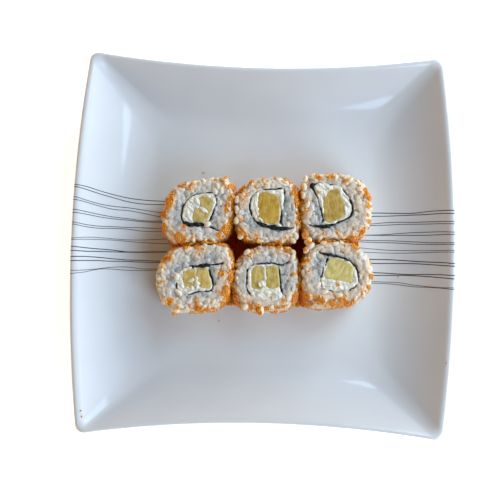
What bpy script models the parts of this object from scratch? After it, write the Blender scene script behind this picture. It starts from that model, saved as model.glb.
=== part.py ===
"""Six pieces of uramaki on a square porcelain plate with bowed sides.

Metres, +Z up. The origin is on the table under the middle of the plate. +X runs along the rows of three
pieces and +Y points to the back row. Sizes below are written in millimetres, and solid_from() turns them
into metres as it makes each mesh.
"""

import math
import random

import bmesh
import bpy
from mathutils import Vector

MM = 0.001

# The plate, seen from above: left and right sides bow out, front and back sides bow in
PLATE_HALF = 120.0
SIDE_BOW = 8.0
FRONT_BOW = 8.6
CORNER_RADIUS = 5.5
CORNER_GROWTH = 0.18
CORNER_STEPS = 4
SIDE_STEPS = 8

# The plate, cut through the middle
RIM_HEIGHT = 26.0
FLOOR_HEIGHT = 6.5
BASE_HEIGHT = 2.2
WALL_RUN = 46.0
WALL_CURVE = 1.9
WALL_THICKNESS = 4.3
LIP_WIDTH = 3.4
LIP_DROP = 2.0
MIDDLE_INSET = 66.0
FOOT_OUTSIDE = 42.0
FOOT_INSIDE = 46.5
FOOT_SLOPE = 1.5
WALL_INSETS = (38.0, 30.0, 22.0, 15.0, 9.0, LIP_WIDTH)
UNDER_INSETS = (4.0, 11.0, 20.0, 30.0, FOOT_OUTSIDE - FOOT_SLOPE)

# Every roll
CLEARANCE = 0.3
SHEET_THICKNESS = 0.8
RICE_STEPS = 36
RICE_LEVELS = (0.0, 0.05, 0.2, 0.36, 0.52, 0.68, 0.83, 0.95, 1.0)
WAIST_LEVEL = 0.5
BOTTOM_ROUNDING = 1.3
SIDE_BUMP = 0.7
END_BUMP = 0.25
GRAIN_LENGTH = 6.4
GRAIN_WIDTH = 3.1
GRAIN_SINK = 0.35
GRAINS_ON_SIDE = 6
GRAINS_ON_FACE = 4
ROE_WIDTH = 1.2
ROE_SINK = 0.2
ROE_ON_SIDE = 8
GOLDEN_TURN = 0.382
TRIES = 40
CORNER_CUT = 0.2
END_GAP = 0.2
CUTTER_SPARE = 5.0
SHARP_FROM = math.radians(50)

# One entry for each roll. "waist" and "face" hold eight distances from the centre, every 45 degrees from
# +X round by +Y: to the widest outline of the piece, and to the edge of its cut face. "sheet" is the line
# of the nori, from its inner edge once round the filling and out into the rice. "fruit" holds the sections
# of the yellow fruit. "stray" holds grains that stick out past the outline: where each one's middle is seen
# from above, the share of the roll's height that it lies at, and the way it points, in degrees from +X.
ROLLS = {
    "back_left": dict(
        centre=(-40.5, 17.0),
        height=27.4,
        waist=(21.9, 28.0, 20.6, 22.4, 23.2, 25.2, 18.6, 22.8),
        face=(19.2, 24.9, 18.3, 18.6, 19.4, 21.6, 17.6, 21.0),
        sheet=((-33.8, 10.9), (-31.2, 17.0), (-29.4, 24.4), (-31.2, 29.2), (-36.4, 28.4), (-42.6, 27.4),
               (-48.4, 22.8), (-50.5, 16.5), (-49.2, 10.0), (-42.0, 8.8), (-34.0, 8.3), (-26.7, 4.8)),
        fruit=(((-39.4, 26.8), (-32.0, 25.4), (-32.3, 18.2), (-34.8, 11.2), (-43.9, 10.5), (-42.7, 18.5),
                (-39.5, 19.0)),),
    ),
    "back_middle": dict(
        centre=(2.0, 18.5),
        height=28.2,
        waist=(19.8, 24.4, 21.8, 22.2, 20.0, 22.6, 19.6, 24.6),
        face=(17.7, 21.0, 18.6, 18.6, 18.6, 20.6, 19.0, 22.4),
        sheet=((10.2, 11.0), (10.9, 19.0), (12.3, 26.6), (11.8, 32.0), (5.6, 31.6), (-1.6, 31.0), (-7.0, 27.3),
               (-9.0, 22.4), (-7.5, 15.6), (-3.6, 10.5), (4.0, 8.3), (11.5, 7.4), (18.2, 8.0)),
        fruit=(((-3.6, 28.4), (0.6, 30.2), (5.4, 29.8), (9.7, 25.6), (9.4, 10.4), (2.0, 10.4), (-4.4, 12.6)),),
    ),
    "back_right": dict(
        centre=(44.5, 20.5),
        height=28.8,
        waist=(23.0, 24.4, 23.0, 25.6, 22.2, 25.0, 19.2, 23.2),
        face=(19.6, 20.6, 19.8, 22.8, 20.4, 22.4, 18.2, 20.8),
        sheet=((36.4, 12.6), (34.9, 20.0), (32.0, 28.2), (29.0, 33.6), (32.6, 35.8), (39.5, 35.2), (46.2, 33.6),
               (51.2, 28.2), (54.0, 22.4), (53.2, 16.0), (46.0, 12.3), (38.5, 9.2), (32.0, 9.4), (26.6, 10.6)),
        fruit=(((39.3, 31.6), (45.2, 33.0), (47.4, 27.5), (49.9, 21.5), (49.0, 15.2), (40.6, 11.5),
                (37.2, 13.2), (36.1, 26.9), (38.5, 28.4)),),
        stray=((25.0, 38.6, 0.93, 70), (24.4, 33.4, 0.9, 100), (29.6, 40.2, 0.86, 150)),
    ),
    "front_left": dict(
        centre=(-41.0, -24.0),
        height=27.8,
        waist=(22.6, 28.2, 21.4, 24.2, 25.0, 25.0, 20.6, 23.0),
        face=(20.4, 26.0, 19.2, 20.4, 22.4, 22.2, 17.6, 21.2),
        sheet=((-32.8, -18.8), (-31.4, -23.2), (-30.0, -28.0), (-32.0, -31.8), (-37.4, -31.6), (-42.6, -33.4),
               (-47.4, -34.6), (-51.4, -32.0), (-52.4, -27.6), (-51.2, -22.0), (-48.4, -18.4), (-42.6, -16.9),
               (-36.0, -16.2), (-29.6, -15.4), (-24.0, -14.4)),
        fruit=(((-48.6, -18.6), (-40.9, -18.0), (-40.7, -23.0), (-40.9, -28.8), (-44.6, -30.0), (-48.2, -28.2)),
               ((-40.0, -17.8), (-33.8, -17.6), (-32.6, -22.6), (-31.2, -29.2), (-36.0, -30.0), (-40.0, -29.0))),
        stray=((-52.6, -44.6, 0.7, 20), (-59.0, -37.8, 0.9, 130)),
    ),
    "front_middle": dict(
        centre=(2.5, -23.0),
        height=27.0,
        waist=(20.2, 23.4, 20.8, 21.2, 20.6, 24.0, 20.4, 23.0),
        face=(18.2, 21.0, 19.8, 18.2, 19.0, 20.2, 17.4, 19.6),
        sheet=((9.9, -17.0), (10.6, -23.0), (11.3, -29.0), (12.0, -33.2), (9.2, -35.9), (2.0, -36.1), (-4.2, -34.8),
               (-8.4, -32.0), (-9.5, -26.0), (-9.6, -20.0), (-7.8, -16.0), (-1.0, -14.4), (6.0, -13.9),
               (11.6, -14.9), (17.0, -12.0)),
        fruit=(((-6.8, -16.0), (0.6, -15.6), (0.7, -23.0), (0.5, -29.4), (-4.4, -29.8), (-7.4, -28.4)),
               ((1.5, -15.6), (9.0, -15.4), (9.8, -22.0), (10.4, -28.8), (1.5, -29.2))),
        stray=((-0.6, -42.8, 0.75, 80), (-10.4, -40.8, 0.9, 140)),
    ),
    "front_right": dict(
        centre=(45.0, -19.0),
        height=28.4,
        waist=(22.9, 21.8, 20.0, 22.8, 21.8, 26.4, 20.8, 22.6),
        face=(20.4, 19.8, 18.8, 21.0, 20.2, 20.6, 15.2, 20.6),
        sheet=((39.5, -10.6), (37.8, -14.8), (36.2, -20.0), (35.3, -25.4), (37.6, -29.0), (45.0, -29.6),
               (52.4, -29.0), (57.0, -26.6), (58.2, -22.0), (56.7, -15.4), (52.2, -11.2), (46.0, -9.1),
               (40.0, -8.1), (35.0, -7.2), (32.2, -5.2)),
        fruit=(((40.8, -9.8), (46.4, -10.4), (55.0, -14.2), (55.2, -20.4), (53.2, -24.6), (46.0, -24.2),
                (37.4, -21.8), (38.6, -16.4)),),
    ),
}

# The lines along which neighbouring rolls press on each other, seen from above
SEAMS = (
    ("back_left", "back_middle", (-18.4, 0.0), (-18.4, 40.0)),
    ("back_middle", "back_right", (22.2, 0.0), (22.2, 40.0)),
    ("front_left", "front_middle", (-18.2, -42.0), (-18.2, 0.0)),
    ("front_middle", "front_right", (23.0, -42.0), (23.0, 0.0)),
    ("back_left", "front_left", (-60.0, -2.6), (-20.0, -2.0)),
    ("back_middle", "front_middle", (-17.0, -1.6), (21.0, -1.4)),
    ("back_right", "front_right", (28.0, -0.6), (56.0, 2.2)),
)

COLOURS = {
    "porcelain": ((0.78, 0.80, 0.82), 0.12),
    "rice": ((0.86, 0.85, 0.82), 0.45),
    "nori": ((0.02, 0.03, 0.02), 0.55),
    "cheese": ((0.93, 0.93, 0.90), 0.40),
    "fruit": ((0.72, 0.62, 0.24), 0.30),
}


def clear_scene():
    for thing in list(bpy.data.objects):
        bpy.data.objects.remove(thing)


def material(name):
    """The Principled material of one of the COLOURS, made once."""
    found = bpy.data.materials.get(name)
    if found:
        return found
    colour, roughness = COLOURS[name]
    made = bpy.data.materials.new(name)
    made.use_nodes = True
    shader = made.node_tree.nodes["Principled BSDF"]
    shader.inputs["Base Color"].default_value = (*colour, 1.0)
    shader.inputs["Roughness"].default_value = roughness
    shader.inputs["Metallic"].default_value = 0.0
    return made


def solid_from(name, mesh, finish):
    """A named object from a bmesh in millimetres."""
    bmesh.ops.scale(mesh, vec=(MM, MM, MM), verts=mesh.verts)
    bmesh.ops.recalc_face_normals(mesh, faces=mesh.faces)
    data = bpy.data.meshes.new(name)
    mesh.to_mesh(data)
    mesh.free()
    data.materials.append(material(finish))
    made = bpy.data.objects.new(name, data)
    bpy.context.scene.collection.objects.link(made)
    return made


def skin_between_loops(loops):
    """A closed bmesh through loops with equally many points, each end closed by one face."""
    mesh = bmesh.new()
    rows = [[mesh.verts.new(point) for point in loop] for loop in loops]
    for low, high in zip(rows, rows[1:]):
        for i in range(len(low)):
            after = (i + 1) % len(low)
            mesh.faces.new((low[i], low[after], high[after], high[i]))
    mesh.faces.new(rows[0][::-1])
    mesh.faces.new(rows[-1])
    return mesh


def upright(outline, bottom, top):
    """A closed bmesh with that outline from one height to another."""
    return skin_between_loops([[(x, y, z) for x, y in outline] for z in (bottom, top)])


# Curves


def cubic_through(a, b, c, d, share):
    """The Catmull-Rom cubic from b to c."""
    return b + 0.5 * share * (c - a + share * (2 * a - 5 * b + 4 * c - d + share * (3 * (b - c) + d - a)))


def distance_at(distances, angle):
    """The distance from the centre at an angle, smooth through the eight that are given."""
    place = angle / math.tau * len(distances)
    first = math.floor(place)
    four = [distances[(first + k) % len(distances)] for k in (-1, 0, 1, 2)]
    return cubic_through(*four, place - first)


def smooth_line(points, steps=2):
    """A smooth open line through points, with so many steps between two of them."""
    ends = [Vector(p) for p in (points[0], *points, points[-1])]
    line = [
        cubic_through(*ends[i:i + 4], k / steps)
        for i in range(len(points) - 1)
        for k in range(steps)
    ]
    return [*line, Vector(points[-1])]


def round_corners(points, times=2):
    """A closed outline with each corner cut off, and the new corners again."""
    for _ in range(times):
        after = [*points[1:], points[0]]
        points = [
            (p[0] + (q[0] - p[0]) * share, p[1] + (q[1] - p[1]) * share)
            for p, q in zip(points, after)
            for share in (CORNER_CUT, 1 - CORNER_CUT)
        ]
    return points


def turns_left(points):
    """True where a closed outline runs anticlockwise."""
    after = [*points[1:], points[0]]
    return sum(p[0] * q[1] - q[0] * p[1] for p, q in zip(points, after)) > 0


def beside(line, distance):
    """An open line moved sideways, to the right of its own direction."""
    moved = []
    for i, point in enumerate(line):
        along = (line[min(i + 1, len(line) - 1)] - line[max(i - 1, 0)]).normalized()
        moved.append(point + Vector((along.y, -along.x)) * distance)
    return moved


def grown(outline, distance):
    """A closed outline moved outwards."""
    closed = [Vector(p) for p in outline]
    sign = distance if turns_left(outline) else -distance
    moved = []
    for i, point in enumerate(closed):
        along = (closed[(i + 1) % len(closed)] - closed[i - 1]).normalized()
        moved.append(point + Vector((along.y, -along.x)) * sign)
    return moved


# The plate


def plate_outline(inset):
    """The plate's outline, drawn in by a distance from the rim. The corners grow rounder and the bows fade."""
    half_x = PLATE_HALF - SIDE_BOW - inset
    half_y = PLATE_HALF - inset
    radius = CORNER_RADIUS + inset * CORNER_GROWTH
    fade = (1 - inset / PLATE_HALF) ** 2
    square = []
    for quarter, (sign_x, sign_y) in enumerate(((1, 1), (-1, 1), (-1, -1), (1, -1))):
        corner = Vector((sign_x * (half_x - radius), sign_y * (half_y - radius)))
        for k in range(CORNER_STEPS + 1):
            angle = (quarter + k / CORNER_STEPS) * math.pi / 2
            square.append(corner + Vector((math.cos(angle), math.sin(angle))) * radius)
    with_sides = []
    for i, point in enumerate(square):
        with_sides.append(point)
        if i % (CORNER_STEPS + 1) == CORNER_STEPS:
            after = square[(i + 1) % len(square)]
            with_sides += [point.lerp(after, k / SIDE_STEPS) for k in range(1, SIDE_STEPS)]
    return [
        Vector((
            p.x + SIDE_BOW * fade * (1 - (p.y / half_y) ** 2) * p.x / half_x,
            p.y - FRONT_BOW * fade * (1 - (p.x / half_x) ** 2) * p.y / half_y,
        ))
        for p in with_sides
    ]


def floor_at(inset):
    """The height of the plate's upper face, at a distance in from the rim."""
    climb = max(0.0, (WALL_RUN - inset) / (WALL_RUN - LIP_WIDTH))
    return FLOOR_HEIGHT + (RIM_HEIGHT - LIP_DROP * 0.3 - FLOOR_HEIGHT) * climb ** WALL_CURVE


def plate_section():
    """(inset, height) pairs from the middle of the well, over the lip and under the plate to its middle."""
    well = [(MIDDLE_INSET, FLOOR_HEIGHT), (WALL_RUN, FLOOR_HEIGHT)]
    wall = [(inset, floor_at(inset)) for inset in WALL_INSETS]
    lip = [
        (LIP_WIDTH * 0.55, RIM_HEIGHT),
        (LIP_WIDTH * 0.15, RIM_HEIGHT - LIP_DROP * 0.3),
        (0.0, RIM_HEIGHT - LIP_DROP),
    ]
    under = [(inset, floor_at(inset) - WALL_THICKNESS) for inset in UNDER_INSETS]
    foot = [
        (FOOT_OUTSIDE, 0.0),
        (FOOT_INSIDE, 0.0),
        (FOOT_INSIDE + FOOT_SLOPE, BASE_HEIGHT),
        (MIDDLE_INSET, BASE_HEIGHT),
    ]
    return [*well, *wall, *lip, *under, *foot]


def build_plate():
    loops = [[(*p, height) for p in plate_outline(inset)] for inset, height in plate_section()]
    return solid_from("plate", skin_between_loops(loops), "porcelain")


# The rolls


def own_side(name, x, y, spare):
    """A point of a roll, moved back to that roll's side of each seam where it has crossed over."""
    for first, second, start, end in SEAMS:
        if name not in (first, second):
            continue
        along = (Vector(end) - Vector(start)).normalized()
        across = Vector((along.y, -along.x))
        centre = Vector(ROLLS[name]["centre"])
        if (centre - Vector(start)).dot(across) < 0:
            across = -across
        short = spare - (Vector((x, y)) - Vector(start)).dot(across)
        if short > 0:
            x += across.x * short
            y += across.y * short
    return x, y


def rice_edge(roll, angle, level):
    """The distance from a roll's centre to its side. The side swells from the cut face to the waist."""
    waist = distance_at(roll["waist"], angle)
    face = distance_at(roll["face"], angle)
    climb = max(0.0, (level - WAIST_LEVEL) / (1 - WAIST_LEVEL))
    turn_in = 1 - math.sqrt(1 - climb ** 2)
    fall = max(0.0, 1 - level / RICE_LEVELS[2])
    return waist + (face - waist) * turn_in - BOTTOM_ROUNDING * fall ** 2


def rice_core(name, roll, bottom, chance):
    """The pressed rice with no hole in it: bumps as large as grains on its side, lower ones on the cut face."""
    centre_x, centre_y = roll["centre"]
    top = bottom + roll["height"]
    loops = []

    def loop(level, scale, height, bump, lift):
        points = []
        for i in range(RICE_STEPS):
            angle = (i + chance.uniform(-0.15, 0.15)) * math.tau / RICE_STEPS
            raised = bump * (1 if (i + len(loops)) % 2 else -1) * chance.uniform(0.5, 1.0)
            reach = rice_edge(roll, angle, level) * scale + raised
            x = centre_x + reach * math.cos(angle)
            y = centre_y + reach * math.sin(angle)
            x, y = own_side(name, x, y, CLEARANCE / 2)
            points.append((x, y, height + lift * chance.uniform(-1.0, 1.0)))
        loops.append(points)

    for level in RICE_LEVELS:
        at_an_end = level in (RICE_LEVELS[0], RICE_LEVELS[-1])
        loop(level, 1.0, bottom + level * roll["height"], END_BUMP if at_an_end else SIDE_BUMP, 0.0)
    loop(1.0, 0.9, top + END_BUMP, 0.0, END_BUMP)
    loop(1.0, 0.78, top, 0.0, END_BUMP)
    loop(1.0, 0.66, top, 0.0, 0.0)
    return skin_between_loops(loops)


def grain(place, along, out):
    """A bmesh of one cooked grain, with its long axis along a direction and its back to the outside."""
    mesh = bmesh.new()
    bmesh.ops.create_uvsphere(mesh, u_segments=6, v_segments=4, radius=0.5)
    side = out.cross(along).normalized()
    for vert in mesh.verts:
        x, y, z = vert.co
        vert.co = place + side * x * GRAIN_WIDTH + out * y * GRAIN_WIDTH * 0.85 + along * z * GRAIN_LENGTH
    return mesh


def egg(place):
    """A bmesh of one egg of roe."""
    mesh = bmesh.new()
    bmesh.ops.create_icosphere(mesh, subdivisions=1, radius=ROE_WIDTH / 2)
    bmesh.ops.translate(mesh, vec=place, verts=mesh.verts)
    return mesh


def in_its_own_side(name, place, spare):
    """True where a point of a roll keeps that distance from all of its seams."""
    x, y = own_side(name, place.x, place.y, spare)
    return abs(x - place.x) + abs(y - place.y) < 1e-6


def on_the_skin(roll, bottom, angle, level, share=1.0):
    """A point on a roll's side, or with a share under 1 on its cut face, and the way that faces out there."""
    outward = Vector((math.cos(angle), math.sin(angle), 0.0))
    place = Vector((*roll["centre"], bottom + level * roll["height"]))
    place += outward * rice_edge(roll, angle, level) * share
    return place, outward if share == 1.0 else Vector((0.0, 0.0, 1.0))


def standing_grains(name, roll, bottom, chance):
    """Whole grains that stand out of the side and the cut face, spread evenly and clear of the seams."""
    reach = (GRAIN_LENGTH + GRAIN_WIDTH) / 2
    made = []
    for x, y, level, heading in roll.get("stray", ()):
        along = Vector((math.cos(math.radians(heading)), math.sin(math.radians(heading)), 0.0))
        made.append(grain(Vector((x, y, bottom + level * roll["height"])), along, Vector((0.0, 0.0, 1.0))))
    for i in range(GRAINS_ON_SIDE + GRAINS_ON_FACE):
        for _ in range(TRIES):
            angle = (i * GOLDEN_TURN + chance.uniform(-0.1, 0.1)) * math.tau
            if i < GRAINS_ON_SIDE:
                place, out = on_the_skin(roll, bottom, angle, chance.uniform(0.35, 0.9))
            else:
                place, out = on_the_skin(roll, bottom, angle, 1.0, chance.uniform(0.8, 0.88))
            place -= out * GRAIN_WIDTH * GRAIN_SINK
            turn = chance.uniform(0.0, math.tau)
            along = out.orthogonal().normalized()
            along = along * math.cos(turn) + out.cross(along) * math.sin(turn)
            if in_its_own_side(name, place, reach):
                made.append(grain(place, along, out))
                break
    return made


def standing_roe(name, roll, bottom, chance):
    """Eggs of roe that cling to the side, spread evenly and clear of the seams."""
    made = []
    for i in range(ROE_ON_SIDE):
        for _ in range(TRIES):
            angle = (i * GOLDEN_TURN + chance.uniform(-0.1, 0.1)) * math.tau
            place, out = on_the_skin(roll, bottom, angle, chance.uniform(0.25, 0.95))
            place -= out * ROE_WIDTH * ROE_SINK
            if in_its_own_side(name, place, ROE_WIDTH + SIDE_BUMP):
                made.append(egg(place))
                break
    return made


def fuse(body, pieces, finish):
    """Joins the pieces to a body with one union, and removes them."""
    group = bpy.data.collections.new("fused")
    bpy.context.scene.collection.children.link(group)
    for piece in pieces:
        loose = solid_from("loose", piece, finish)
        bpy.context.scene.collection.objects.unlink(loose)
        group.objects.link(loose)
    union = body.modifiers.new("fuse", "BOOLEAN")
    union.operation = "UNION"
    union.solver = "EXACT"
    union.operand_type = "COLLECTION"
    union.collection = group
    apply_modifiers(body)
    for loose in list(group.objects):
        bpy.data.objects.remove(loose)
    bpy.data.collections.remove(group)


def cut_away(body, mesh):
    """Cuts a body with a bmesh."""
    cutter = solid_from("cutter", mesh, "rice")
    cut = body.modifiers.new("cut", "BOOLEAN")
    cut.operation = "DIFFERENCE"
    cut.solver = "EXACT"
    cut.object = cutter
    apply_modifiers(body)
    bpy.data.objects.remove(cutter)


def apply_modifiers(body):
    shown = body.evaluated_get(bpy.context.evaluated_depsgraph_get())
    body.data = bpy.data.meshes.new_from_object(shown)
    body.modifiers.clear()


def sheet_lines(roll):
    """The nori's centre line, the sign that points outwards beside it, and where it passes its own start."""
    line = smooth_line(roll["sheet"])
    outwards = 1 if turns_left(line) else -1
    half = len(line) // 2
    passing = min(range(half, len(line)), key=lambda i: (line[i] - line[0]).length)
    return line, outwards, passing


def rice_bore(roll):
    """The outline of what the rice leaves free: the sheet, all inside it, and the slit that its end lies in."""
    line, outwards, passing = sheet_lines(roll)
    reach = SHEET_THICKNESS / 2 + CLEARANCE
    tip = line[-1] + (line[-1] - line[-2]).normalized() * CLEARANCE
    outside = beside([*line[:-1], tip], outwards * reach)
    inside = beside([*line[:-1], tip], -outwards * reach)
    return [*outside, *reversed(inside[passing:])]


def filling_outline(roll):
    """The outline of the space inside the sheet."""
    line, outwards, passing = sheet_lines(roll)
    return beside(line, -outwards * (SHEET_THICKNESS / 2 + CLEARANCE))[:passing + 1]


def build_roll(name, roll):
    bottom = FLOOR_HEIGHT + CLEARANCE
    top = bottom + roll["height"]
    chance = random.Random(name)
    label = "roll_" + name

    rice = solid_from(label + "_rice", rice_core(name, roll, bottom, chance), "rice")
    fuse(rice, standing_grains(name, roll, bottom, chance) + standing_roe(name, roll, bottom, chance), "rice")
    cut_away(rice, upright(rice_bore(roll), bottom - CUTTER_SPARE, top + CUTTER_SPARE))

    line, outwards, _ = sheet_lines(roll)
    one_side = beside(line, SHEET_THICKNESS / 2)
    other_side = beside(line, -SHEET_THICKNESS / 2)
    sheet = upright([*one_side, *reversed(other_side)], bottom + END_GAP, top + END_GAP)
    solid_from(label + "_nori", sheet, "nori")

    cheese = solid_from(label + "_cheese", upright(filling_outline(roll), bottom + END_GAP, top - END_GAP), "cheese")
    for i, corners in enumerate(roll["fruit"]):
        section = round_corners(corners)
        cut_away(cheese, upright(grown(section, CLEARANCE), bottom - CUTTER_SPARE, top + CUTTER_SPARE))
        side = ("", "_second")[i]
        solid_from(label + "_fruit" + side, upright(section, bottom + END_GAP, top + END_GAP), "fruit")


def main():
    clear_scene()
    build_plate()
    for name, roll in ROLLS.items():
        build_roll(name, roll)
    for made in bpy.data.objects:
        made.data.shade_smooth()
        made.data.set_sharp_from_angle(angle=SHARP_FROM)


main()
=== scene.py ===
# %% [markdown]
# # Six pieces of uramaki on a square porcelain plate
#
# The dish stands as it was served: two rows of three cut pieces in the middle of a white plate with bowed
# sides. Sizes below are written in millimetres, because that is how a kitchen or a pottery would give them,
# and one factor turns them into Blender's metres.

# %% Load the frame
import math

import bpy
import numpy as np
from mathutils import Matrix, Vector, noise
from mathutils.bvhtree import BVHTree
from mathutils.geometry import delaunay_2d_cdt


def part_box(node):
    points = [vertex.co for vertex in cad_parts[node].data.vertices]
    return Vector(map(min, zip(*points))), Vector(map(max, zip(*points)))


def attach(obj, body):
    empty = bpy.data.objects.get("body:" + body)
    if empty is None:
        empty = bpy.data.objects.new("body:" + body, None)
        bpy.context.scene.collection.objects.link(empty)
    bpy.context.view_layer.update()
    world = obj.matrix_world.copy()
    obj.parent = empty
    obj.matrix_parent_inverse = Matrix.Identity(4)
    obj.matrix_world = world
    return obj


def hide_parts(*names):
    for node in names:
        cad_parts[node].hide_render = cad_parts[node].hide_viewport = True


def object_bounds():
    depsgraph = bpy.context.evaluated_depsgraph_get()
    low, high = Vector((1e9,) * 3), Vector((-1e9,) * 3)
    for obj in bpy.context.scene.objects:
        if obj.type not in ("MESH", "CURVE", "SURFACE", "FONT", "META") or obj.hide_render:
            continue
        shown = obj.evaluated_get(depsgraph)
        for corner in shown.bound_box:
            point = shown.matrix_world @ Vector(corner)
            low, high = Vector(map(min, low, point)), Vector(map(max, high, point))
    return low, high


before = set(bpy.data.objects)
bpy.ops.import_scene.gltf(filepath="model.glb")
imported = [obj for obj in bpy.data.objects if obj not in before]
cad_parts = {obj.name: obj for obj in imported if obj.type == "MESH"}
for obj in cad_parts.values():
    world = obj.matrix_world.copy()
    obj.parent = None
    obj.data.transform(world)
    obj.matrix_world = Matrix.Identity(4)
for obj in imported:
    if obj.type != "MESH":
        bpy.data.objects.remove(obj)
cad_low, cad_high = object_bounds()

MM = 0.001
dish_size = (cad_high - cad_low) / MM
print(f"the dish is {dish_size.x:.1f} x {dish_size.y:.1f} x {dish_size.z:.1f} mm")

# %% [markdown]
# ## Colours and nodes
#
# Paint charts and photo editors give colours as sRGB hex values, but a shader adds up light, which is linear.
# So every colour goes through one function on its way in. A material is a small net of nodes. One helper that
# adds a node, sets its sockets and properties and links it keeps each material short enough to read.


# %% Colour and node helpers
def linear(hex_colour):
    """An sRGB hex value as linear red, green, blue and alpha."""
    channels = [int(hex_colour[i:i + 2], 16) / 255 for i in (1, 3, 5)]
    return (*[c / 12.92 if c <= 0.04045 else ((c + 0.055) / 1.055) ** 2.4 for c in channels], 1.0)


def settle(tree, node, sockets):
    """Gives each socket of a node its value: a number, a colour as hex, or another node's output to link."""
    for key, value in sockets.items():
        if isinstance(value, bpy.types.NodeSocket):
            tree.links.new(value, node.inputs[key])
        else:
            node.inputs[key].default_value = linear(value) if isinstance(value, str) else value


def add(tree, kind, sockets=None, **properties):
    """Adds a shader node with its settings and links."""
    node = tree.nodes.new("ShaderNode" + kind)
    for name, value in properties.items():
        setattr(node, name, value)
    settle(tree, node, sockets or {})
    return node


def finish_of(name, **constants):
    """A new material, its node tree and its Principled shader, with the shader's constants set."""
    made = bpy.data.materials.new(name)
    made.use_nodes = True
    shader = made.node_tree.nodes["Principled BSDF"]
    settle(made.node_tree, shader, {key.replace("_", " "): value for key, value in constants.items()})
    return made, made.node_tree, shader


# A Mix node's sockets for colours, by their place in its list
FACTOR, FIRST_COLOUR, SECOND_COLOUR, COLOUR_OUT = 0, 6, 7, 2


def per_metre(size_in_mm):
    """The Scale of a texture whose features are that large."""
    return 1 / (size_in_mm * MM)


print("mid grey #808080 is", round(linear("#808080")[0], 3), "in linear light")

# %% [markdown]
# ## From arrays to pieces
#
# A piece of food has thousands of points that follow a rule, so they are worked out as arrays and turned into
# a mesh in one go. This is faster than bmesh, and every later step can move whole arrays at once.


# %% Mesh helpers
def piece(name, points, faces, finish, slot=None, replaces=(), sharp_from=None, **shares):
    """A smooth-shaded object from points in millimetres, riding on the dish.

    Each of `shares` becomes a mesh attribute with one number a point, for a material to read."""
    mesh = bpy.data.meshes.new(name)
    rows = faces.tolist() if isinstance(faces, np.ndarray) else faces
    mesh.from_pydata((np.asarray(points) * MM).tolist(), [], rows)
    for key, values in shares.items():
        mesh.attributes.new(key, "FLOAT", "POINT").data.foreach_set("value", np.asarray(values, np.float32))
    mesh.validate()
    mesh.materials.append(finish)
    mesh.shade_smooth()
    if sharp_from is not None:
        mesh.set_sharp_from_angle(angle=math.radians(sharp_from))
    made = bpy.data.objects.new(name, mesh)
    bpy.context.scene.collection.objects.link(made)
    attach(made, "root")
    if replaces:
        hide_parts(*replaces)


def joined_copies(template, places, axes, sizes):
    """Many scaled and turned copies of (points, faces), as one pair of arrays."""
    points, faces = template
    moved = np.einsum("vn,cn,cnk->cvk", points, sizes, axes) + places[:, None, :]
    all_faces = faces[None, :, :] + (np.arange(len(places)) * len(points))[:, None, None]
    return moved.reshape(-1, 3), all_faces.reshape(-1, faces.shape[1])


def search_tree(points, faces):
    """A tree of a mesh's faces, in millimetres, for ray casts and nearest points."""
    return BVHTree.FromPolygons([Vector(p) for p in points], [tuple(f) for f in faces])


def joined_tree(solids):
    """One search tree for several (points, faces)."""
    faces, total = [], 0
    for points, some_faces in solids:
        faces += [tuple(i + total for i in face) for face in some_faces]
        total += len(points)
    return search_tree(np.vstack([points for points, _ in solids]), faces)


def frame_mesh(node):
    """The points in millimetres and the faces of a CAD node."""
    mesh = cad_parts[node].data
    points = np.array([v.co for v in mesh.vertices]) / MM
    return points, [tuple(p.vertices) for p in mesh.polygons]


def lift(points):
    """Places seen from above as points at height zero."""
    return np.column_stack((points, np.zeros(len(points))))


def wave(points, size, seed=0.0):
    """Smooth noise from -1 to 1 at each point, with features of a size in millimetres.

    Places that are given by x and y alone are taken at height zero."""
    solid = lift(points) if np.shape(points)[1] == 2 else np.asarray(points)
    shift = np.array((seed, -1.7 * seed, 2.3 * seed))
    return np.array([noise.noise(Vector(p)) for p in solid / size + shift])


def layered(points, layers, seed=0.0):
    """The sum of several noises. Each is a strength, a size and its own seed, and `seed` is added to that."""
    return sum(strength * wave(points, size, own + seed) for strength, size, own in layers)


four_places = np.column_stack((np.arange(4), np.zeros(4)))
print("noise at four places a millimetre apart:", wave(four_places, 2.0).round(2))

# %% [markdown]
# ## The finish of the plate
#
# Hotel porcelain is fired white clay under a clear glass glaze. The glaze gives the eye two things: a sharp
# reflection over a weak body colour, and a surface that is level only on average, as the glaze ran a little
# before it set. So the body is a fairly rough white under a smooth clear coat, and a bump with features of
# 22 mm and of 2.6 mm bends the reflections.

# %% Glazed porcelain
GLAZE_RUN = 22.0
GLAZE_PEEL = 2.6

porcelain, tree, shader = finish_of(
    "glazed_porcelain", Roughness=0.35, IOR=1.5, Coat_Weight=1.0, Coat_Roughness=0.05, Coat_IOR=1.52)
where = add(tree, "TexCoord").outputs["Object"]
run = add(tree, "TexNoise", {"Vector": where, "Scale": per_metre(GLAZE_RUN), "Detail": 1.0})
peel = add(tree, "TexNoise", {"Vector": where, "Scale": per_metre(GLAZE_PEEL), "Detail": 2.0})
low_bump = add(tree, "Bump", {"Height": run.outputs["Fac"], "Strength": 0.25, "Distance": 0.3 * MM})
bump = add(tree, "Bump", {
    "Height": peel.outputs["Fac"],
    "Strength": 0.12,
    "Distance": 0.02 * MM,
    "Normal": low_bump.outputs["Normal"],
})
body = add(tree, "Mix", {
    FACTOR: run.outputs["Fac"],
    FIRST_COLOUR: "#DBE1E5",
    SECOND_COLOUR: "#E2E7E9",
}, data_type="RGBA")
settle(tree, shader, {
    "Base Color": body.outputs[COLOUR_OUT],
    "Normal": bump.outputs["Normal"],
    "Coat Normal": bump.outputs["Normal"],
})
print("the porcelain is a net of", len(tree.nodes), "nodes")

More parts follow.
